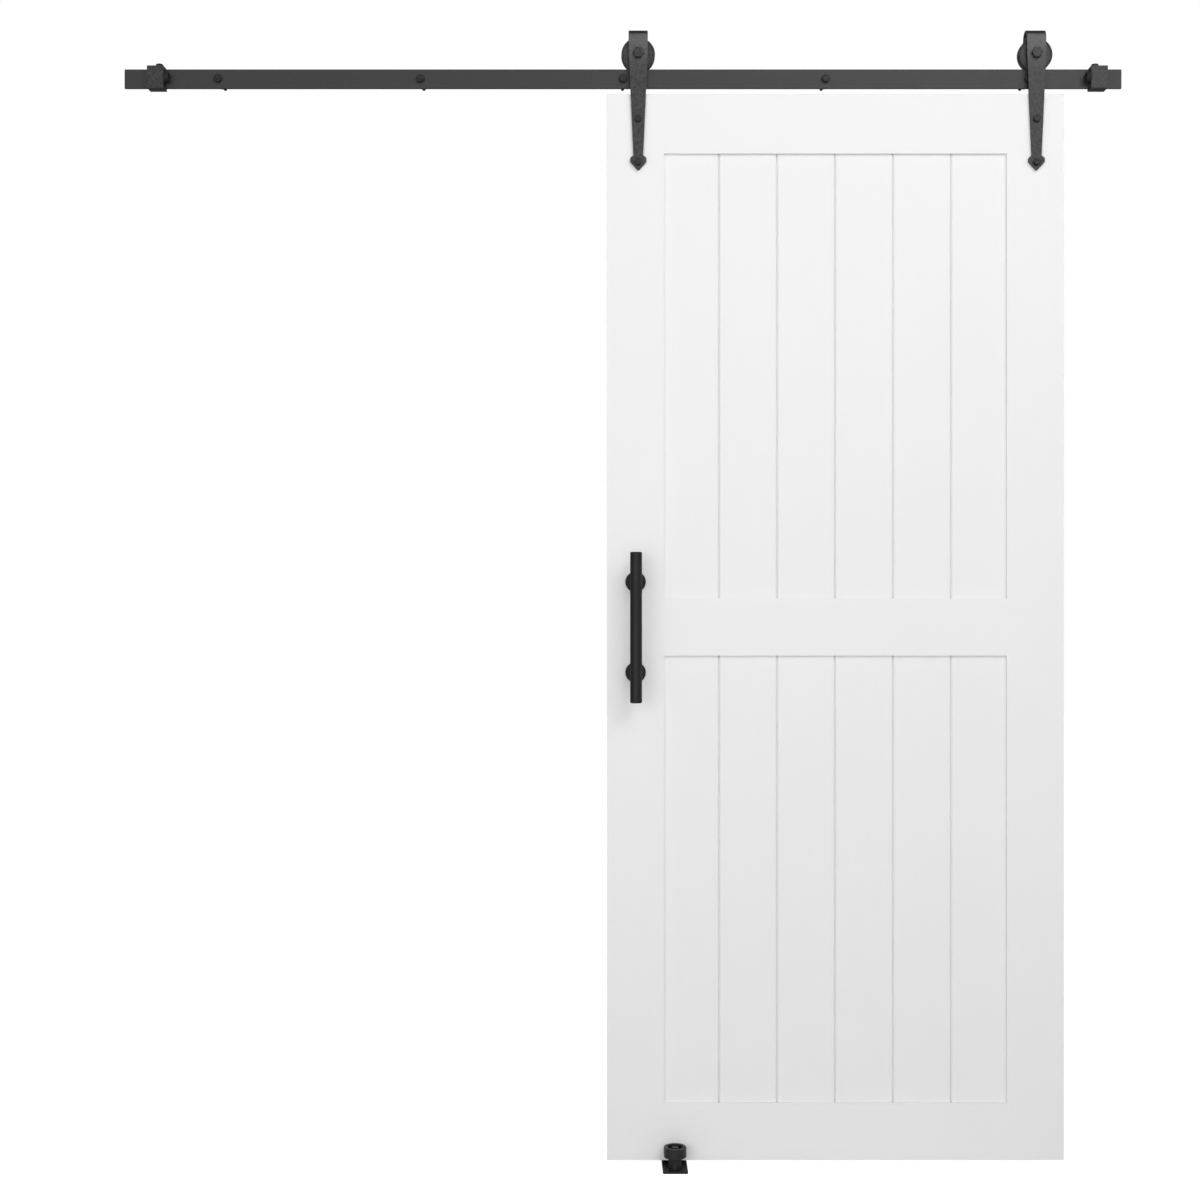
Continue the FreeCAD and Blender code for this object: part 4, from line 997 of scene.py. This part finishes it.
def build_handle():
    """Pull bar, posts, flanges, and the bolts behind the door."""
    size = sizes()
    low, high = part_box("handle_bar")
    bar_centre = (low + high) / 2.0
    radius = (high.y - low.y) / 2.0
    half = (high.z - low.z) / 2.0
    corner = 1.5 * MM
    rounding = 0.9 * MM
    points = [(-half, 0.0), (-half, radius - corner), (corner - half, radius), (half - corner, radius)]
    points += [(half, radius - corner), (half, 0.0)]
    bar = bmesh.new()
    spin(bar, rounded(points, rounding, steps=4), facing("Z", bar_centre), size.round_steps)
    piece("pull_bar", bar, "handle_coat", ["handle_bar"])

    flange_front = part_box("handle_flanges")[0].y
    bar_axis = flange_front - bar_centre.y
    hole = 3.0 * MM
    hole_end = 15.0 * MM
    hole_tip = 16.0 * MM
    posts = bmesh.new()
    for low, high, centre in solids("handle_posts"):
        thick = (high.x - low.x) / 2.0

        def saddle(reach):
            return lambda angle: (bar_axis - math.sqrt(radius**2 - (reach * math.cos(angle)) ** 2), reach)

        rings = [(hole_tip, 0.0), (hole_end, hole), (0.0, hole), (0.0, thick)]
        rings += [saddle(thick), saddle(0.5 * thick), (bar_axis - radius, 0.0)]
        spin(posts, rings, facing("-Y", (centre.x, flange_front, centre.z)), size.round_steps)
    piece("pull_bar_posts", posts, "handle_coat", ["handle_posts"])

    flange_hole = 3.2 * MM
    flange_corner = 1.0 * MM
    flanges = bmesh.new()
    for low, high, centre in solids("handle_flanges"):
        outer = (high.x - low.x) / 2.0
        thick = high.y - low.y
        points = [
            (0.0, flange_hole), (0.0, outer), (thick - flange_corner, outer), (thick, outer - flange_corner)
        ]
        points.append((thick, flange_hole))
        profile = rounded(points, size.flange_edge, closed=True)
        spin(flanges, profile, facing("-Y", (centre.x, high.y, centre.z)), size.round_steps, closed=True)
    piece("pull_bar_flanges", flanges, "handle_coat", ["handle_flanges"])

    thread = 24.0 * MM
    bolts = bmesh.new()
    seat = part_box("handle_washers")[1].y
    for low, high, centre in solids("handle_bolts"):
        rings = hex_bolt(high.z - low.z, high.y - seat, M6_DIA, seat - low.y, thread, size.small_pitch)
        spin(bolts, rings, facing("-Y", (centre.x, seat, centre.z)), size.bolt_steps)
    piece("pull_bar_bolts", bolts, "zinc_plate", ["handle_bolts"])
    tubes("pull_bar_washers", "handle_washers", "zinc_plate", M6_HOLE, size.turned_edge)


def roller_profile(radius, tall):
    """Closed profile of the guide roller, cupped from above for the screw's head."""
    bore = 4.05 * MM
    ring_low, ring_high = 15.0 * MM, 18.2 * MM
    ring_step = 0.6 * MM
    corner = 1.0 * MM
    cup = 15.5 * MM
    cup_floor = tall - 8.0 * MM
    rounding = 0.6 * MM
    points = [
        (0.0, bore),
        (0.0, ring_low),
        (ring_step, ring_low + ring_step),
        (ring_step, ring_high - ring_step),
        (0.0, ring_high),
        (0.0, radius - corner),
        (corner, radius),
        (tall - corner, radius),
        (tall, radius - corner),
        (tall, cup),
        (cup_floor, cup - 0.3 * MM),
        (cup_floor, bore),
    ]
    return rounded(points, rounding, closed=True)


def build_floor_guide():
    """Floor plate, roller on its axle screw, and the glide pad behind the door."""
    size = sizes()
    eased("floor_plate", "guide_base_plate", "guide_steel", size.guide_edge, steps=3)
    eased("glide_pad", "guide_glide_pad", "guide_plastic", size.guide_edge)
    low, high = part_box("guide_roller")
    axis = (low + high) / 2.0
    profile = roller_profile((high.x - low.x) / 2.0, high.z - low.z)
    roller = bmesh.new()
    spin(roller, profile, facing("Z", (axis.x, axis.y, low.z)), size.round_steps, closed=True)
    piece("door_guide_roller", roller, "guide_plastic", ["guide_roller"])

    thread = 16.0 * MM
    low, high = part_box("guide_axle_screw")
    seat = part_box("guide_washer")[1].z
    rings = hex_bolt(
        M8_FLATS, high.z - seat, M8_DIA, seat - low.z, thread, size.small_pitch, thread_dia=M6_DIA
    )
    screw = bmesh.new()
    spin(screw, rings, facing("-Z", (axis.x, axis.y, seat)), size.bolt_steps)
    piece("roller_axle_screw", screw, "black_bolt", ["guide_axle_screw"])
    for name, node, slot in (
        ("roller_washer", "guide_washer", "black_bolt"),
        ("roller_spacer", "guide_spacer", "guide_steel"),
    ):
        low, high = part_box(node)
        bm = bmesh.new()
        profile = tube(high.x - low.x, M8_HOLE, high.z - low.z, size.turned_edge)
        spin(bm, profile, facing("Z", (axis.x, axis.y, low.z)), size.round_steps, closed=True)
        piece(name, bm, slot, [node])

    head = 2.0 * MM
    pad_screw_dia = 3.0 * MM
    floor_neck, floor_thread = 5.0 * MM, 4.4 * MM
    pad_screws = bmesh.new()
    for low, high, centre in solids("guide_pad_screws"):
        rings = pan_screw(high.x - low.x, head, pad_screw_dia, high.y - low.y)
        spin(pad_screws, rings, facing("Y", (centre.x, low.y, centre.z)), size.bolt_steps)
    piece("glide_pad_screws", pad_screws, "black_bolt", ["guide_pad_screws"])
    floor_screws = bmesh.new()
    for low, high, centre in solids("guide_floor_screws"):
        rings = sunk_screw(high.x - low.x, head, floor_neck, floor_thread, high.z - low.z)
        spin(floor_screws, rings, facing("-Z", (centre.x, centre.y, high.z)), size.bolt_steps)
    piece("floor_plate_screws", floor_screws, "black_bolt", ["guide_floor_screws"])


def sunk_screw(head_dia, head, neck, thread, reach):
    """Countersunk wood screw with a cross recess: top at 0, point at its reach."""
    recess = cross(0.30 * head_dia, 0.07 * head_dia)
    point = 5.0 * MM
    return [
        (0.8 * head, 0.0),
        lambda angle: (0.8 * head, 0.55 * recess(angle)),
        lambda angle: (0.0, recess(angle)),
        (0.0, 0.45 * head_dia),
        (0.02 * head, 0.5 * head_dia),
        (head, neck / 2),
        (2.0 * head, neck / 2),
        *threaded(2.2 * head, reach, thread, sizes().floor_pitch, ridge=WOOD_RIDGE, point=point),
        (reach, 0.0),
    ]


def dress_cad_nodes():
    """Gives the CAD nodes that stay in view their finishes."""
    for item in frame["nodes"].values():
        if item.hide_render:
            continue
        slot = item.data.materials[0].name.split(".")[0]
        item.data.materials[0] = finish_for(slot)


# Stage

WHITE = (1.0, 1.0, 1.0, 1.0)
FLOOR_REACH = 9.0
FLOOR_BACK = 4.0
FLOOR_DROP = 0.0005
LAMP_AIM = Vector((0.3, 0.0, -0.9))
KEY_PLACE, KEY_BREADTH = (2.0, -3.7, 1.9), 3.0
FILL_PLACE, FILL_BREADTH = (-1.0, -4.4, -1.0), 5.0


def build_floor(stage):
    """Pale floor that the camera sees as white."""
    floor_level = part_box("guide_base_plate")[0].z
    bm = bmesh.new()
    bmesh.ops.create_grid(bm, x_segments=24, y_segments=24, size=1.0)
    for vert in bm.verts:
        vert.co = Vector(
            (vert.co.x * FLOOR_REACH, vert.co.y * FLOOR_REACH + FLOOR_BACK, floor_level - FLOOR_DROP)
        )
    mesh = bpy.data.meshes.new("floor")
    bm.to_mesh(mesh)
    bm.free()
    floor = bpy.data.objects.new("floor", mesh)
    bpy.context.scene.collection.objects.link(floor)
    finish = Finish("pale_floor")
    layers = (
        ("cloud", 400.0, ROUND, 2.0, 0.4, 0.1, 0.0),
        ("cloud", 6.0, ROUND, 2.0, 0.1, 0.05, 0.01),
    )
    mesh.materials.append(finish.build(shade(stage.floor, 0.98), shade(stage.floor, 1.02), 0.7, layers))
    seen = finish.tree.nodes.new("ShaderNodeLightPath").outputs["Is Camera Ray"]
    finish.shader.inputs["Emission Color"].default_value = WHITE
    finish.link(finish.math("MULTIPLY", seen, stage.floor_glow), finish.shader.inputs["Emission Strength"])


def build_world(stage):
    """Even light that weakens behind the wall and overhead; the camera sees plain white."""
    world = bpy.data.worlds.new("studio")
    bpy.context.scene.world = world
    world.use_nodes = True
    tree = world.node_tree
    room = tree.nodes["Background"]
    room.inputs["Color"].default_value = WHITE
    parts = tree.nodes.new("ShaderNodeSeparateXYZ")
    tree.links.new(tree.nodes.new("ShaderNodeTexCoord").outputs["Generated"], parts.inputs[0])
    product = tree.nodes.new("ShaderNodeMath")
    product.operation = "MULTIPLY"
    fades = (("Y", 0.20, -0.15, stage.back_light, stage.room_light), ("Z", 0.90, 0.60, stage.top_light, 1.0))
    for factor, (axis, dark_from, light_from, dark, light) in zip(product.inputs, fades):
        fade = tree.nodes.new("ShaderNodeMapRange")
        fade.interpolation_type = "SMOOTHSTEP"
        fade.inputs["From Min"].default_value = dark_from
        fade.inputs["From Max"].default_value = light_from
        fade.inputs["To Min"].default_value = dark
        fade.inputs["To Max"].default_value = light
        tree.links.new(parts.outputs[axis], fade.inputs["Value"])
        tree.links.new(fade.outputs[0], factor)
    tree.links.new(product.outputs[0], room.inputs["Strength"])
    seen = tree.nodes.new("ShaderNodeBackground")
    seen.inputs["Strength"].default_value = 1.0
    seen.inputs["Color"].default_value = WHITE
    path = tree.nodes.new("ShaderNodeLightPath")
    mix = tree.nodes.new("ShaderNodeMixShader")
    tree.links.new(path.outputs["Is Camera Ray"], mix.inputs["Fac"])
    tree.links.new(room.outputs[0], mix.inputs[1])
    tree.links.new(seen.outputs[0], mix.inputs[2])
    tree.links.new(mix.outputs[0], tree.nodes["World Output"].inputs["Surface"])


def build_lamp(name, power, breadth, place):
    """Soft rectangular lamp aimed at the door."""
    lamp = bpy.data.lights.new(name, "AREA")
    lamp.shape = "RECTANGLE"
    lamp.size = breadth
    lamp.size_y = 0.8 * breadth
    lamp.energy = power
    light = bpy.data.objects.new(name, lamp)
    light.location = place
    aim = LAMP_AIM - light.location
    light.rotation_euler = aim.to_track_quat("-Z", "Y").to_euler()
    bpy.context.scene.collection.objects.link(light)


def build_camera(stage):
    """Camera that looks level along Y, straight at the wall."""
    data = bpy.data.cameras.new("camera")
    data.lens = stage.lens
    data.sensor_width = 36.0
    data.clip_end = 50.0
    camera = bpy.data.objects.new("camera", data)
    camera.location = stage.eye
    camera.rotation_euler = (math.pi / 2.0, 0.0, 0.0)
    bpy.context.scene.collection.objects.link(camera)
    bpy.context.scene.camera = camera


def build_stage():
    """Pale floor, soft light and the camera."""
    stage = bpy.context.scene.barn_door_stage
    bpy.context.scene.view_settings.view_transform = "Standard"
    build_floor(stage)
    build_world(stage)
    build_lamp("key", stage.key_light, KEY_BREADTH, KEY_PLACE)
    build_lamp("fill", stage.fill_light, FILL_BREADTH, FILL_PLACE)
    build_camera(stage)


# Add-on


class BARNDOOR_OT_rail(bpy.types.Operator):
    """Build the flat rail and its wall spacers"""

    bl_idname = "barndoor.rail"
    bl_label = "Rail"

    def execute(self, context):
        build_rail()
        return {"FINISHED"}


class BARNDOOR_OT_lag_fixings(bpy.types.Operator):
    """Build the lag bolts and their washers"""

    bl_idname = "barndoor.lag_fixings"
    bl_label = "Lag Bolts"

    def execute(self, context):
        build_lag_fixings()
        return {"FINISHED"}


class BARNDOOR_OT_end_stops(bpy.types.Operator):
    """Build the end stops, their bumpers and screws"""

    bl_idname = "barndoor.end_stops"
    bl_label = "End Stops"

    def execute(self, context):
        build_end_stops()
        return {"FINISHED"}


class BARNDOOR_OT_straps(bpy.types.Operator):
    """Build the two hanger straps"""

    bl_idname = "barndoor.straps"
    bl_label = "Hanger Straps"

    def execute(self, context):
        build_straps()
        return {"FINISHED"}


class BARNDOOR_OT_wheels(bpy.types.Operator):
    """Build the two grooved wheels"""

    bl_idname = "barndoor.wheels"
    bl_label = "Wheels"

    def execute(self, context):
        build_wheels()
        return {"FINISHED"}


class BARNDOOR_OT_bearings(bpy.types.Operator):
    """Build the ball bearings' races and balls"""

    bl_idname = "barndoor.bearings"
    bl_label = "Bearings"

    def execute(self, context):
        build_bearings()
        return {"FINISHED"}


class BARNDOOR_OT_axle_fittings(bpy.types.Operator):
    """Build the axle bolts, bushes and nuts"""

    bl_idname = "barndoor.axle_fittings"
    bl_label = "Axle Fittings"

    def execute(self, context):
        build_axle_fittings()
        return {"FINISHED"}


class BARNDOOR_OT_door_bolts(bpy.types.Operator):
    """Build the bolts through straps and door"""

    bl_idname = "barndoor.door_bolts"
    bl_label = "Door Bolts"

    def execute(self, context):
        build_door_bolts()
        return {"FINISHED"}


class BARNDOOR_OT_door_frame(bpy.types.Operator):
    """Build the door's stiles, cross rails and dowels"""

    bl_idname = "barndoor.door_frame"
    bl_label = "Door Frame"

    def execute(self, context):
        build_door_frame()
        return {"FINISHED"}


class BARNDOOR_OT_boards(bpy.types.Operator):
    """Build the tongue and groove boards"""

    bl_idname = "barndoor.boards"
    bl_label = "Boards"

    def execute(self, context):
        build_boards()
        return {"FINISHED"}


class BARNDOOR_OT_handle(bpy.types.Operator):
    """Build the pull bar and its fixings"""

    bl_idname = "barndoor.handle"
    bl_label = "Handle"

    def execute(self, context):
        build_handle()
        return {"FINISHED"}


class BARNDOOR_OT_floor_guide(bpy.types.Operator):
    """Build the floor guide"""

    bl_idname = "barndoor.floor_guide"
    bl_label = "Floor Guide"

    def execute(self, context):
        build_floor_guide()
        return {"FINISHED"}


class BARNDOOR_OT_finishes(bpy.types.Operator):
    """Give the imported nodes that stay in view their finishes"""

    bl_idname = "barndoor.finishes"
    bl_label = "Finishes"

    def execute(self, context):
        dress_cad_nodes()
        return {"FINISHED"}


class BARNDOOR_OT_stage(bpy.types.Operator):
    """Set up the floor, the light and the camera"""

    bl_idname = "barndoor.stage"
    bl_label = "Stage"

    def execute(self, context):
        build_stage()
        return {"FINISHED"}


OPERATORS = (
    BARNDOOR_OT_rail,
    BARNDOOR_OT_lag_fixings,
    BARNDOOR_OT_end_stops,
    BARNDOOR_OT_straps,
    BARNDOOR_OT_wheels,
    BARNDOOR_OT_bearings,
    BARNDOOR_OT_axle_fittings,
    BARNDOOR_OT_door_bolts,
    BARNDOOR_OT_door_frame,
    BARNDOOR_OT_boards,
    BARNDOOR_OT_handle,
    BARNDOOR_OT_floor_guide,
    BARNDOOR_OT_finishes,
    BARNDOOR_OT_stage,
)


class BARNDOOR_PT_panel(bpy.types.Panel):
    """Barn door pieces and settings"""

    bl_idname = "BARNDOOR_PT_panel"
    bl_label = "Barn Door"
    bl_space_type = "VIEW_3D"
    bl_region_type = "UI"
    bl_category = "Barn Door"

    def draw(self, context):
        layout = self.layout
        for operator in OPERATORS:
            layout.operator(operator.bl_idname)
        for group in ("barn_door_sizes", "barn_door_colours", "barn_door_stage"):
            settings = getattr(context.scene, group)
            box = layout.box()
            for name in settings.bl_rna.properties.keys():
                if name not in ("rna_type", "name"):
                    box.prop(settings, name)


GROUPS = (
    ("barn_door_sizes", BarnDoorSizes),
    ("barn_door_colours", BarnDoorColours),
    ("barn_door_stage", BarnDoorStage),
)


def register():
    for name, group in GROUPS:
        bpy.utils.register_class(group)
        setattr(bpy.types.Scene, name, PointerProperty(type=group))
    for item in (*OPERATORS, BARNDOOR_PT_panel):
        bpy.utils.register_class(item)


def unregister():
    for item in reversed((*OPERATORS, BARNDOOR_PT_panel)):
        bpy.utils.unregister_class(item)
    for name, group in reversed(GROUPS):
        delattr(bpy.types.Scene, name)
        bpy.utils.unregister_class(group)


def main():
    """Builds the scene."""
    register()
    for operator in OPERATORS:
        group, name = operator.bl_idname.split(".")
        getattr(getattr(bpy.ops, group), name)()


if __name__ == "__main__":
    main()
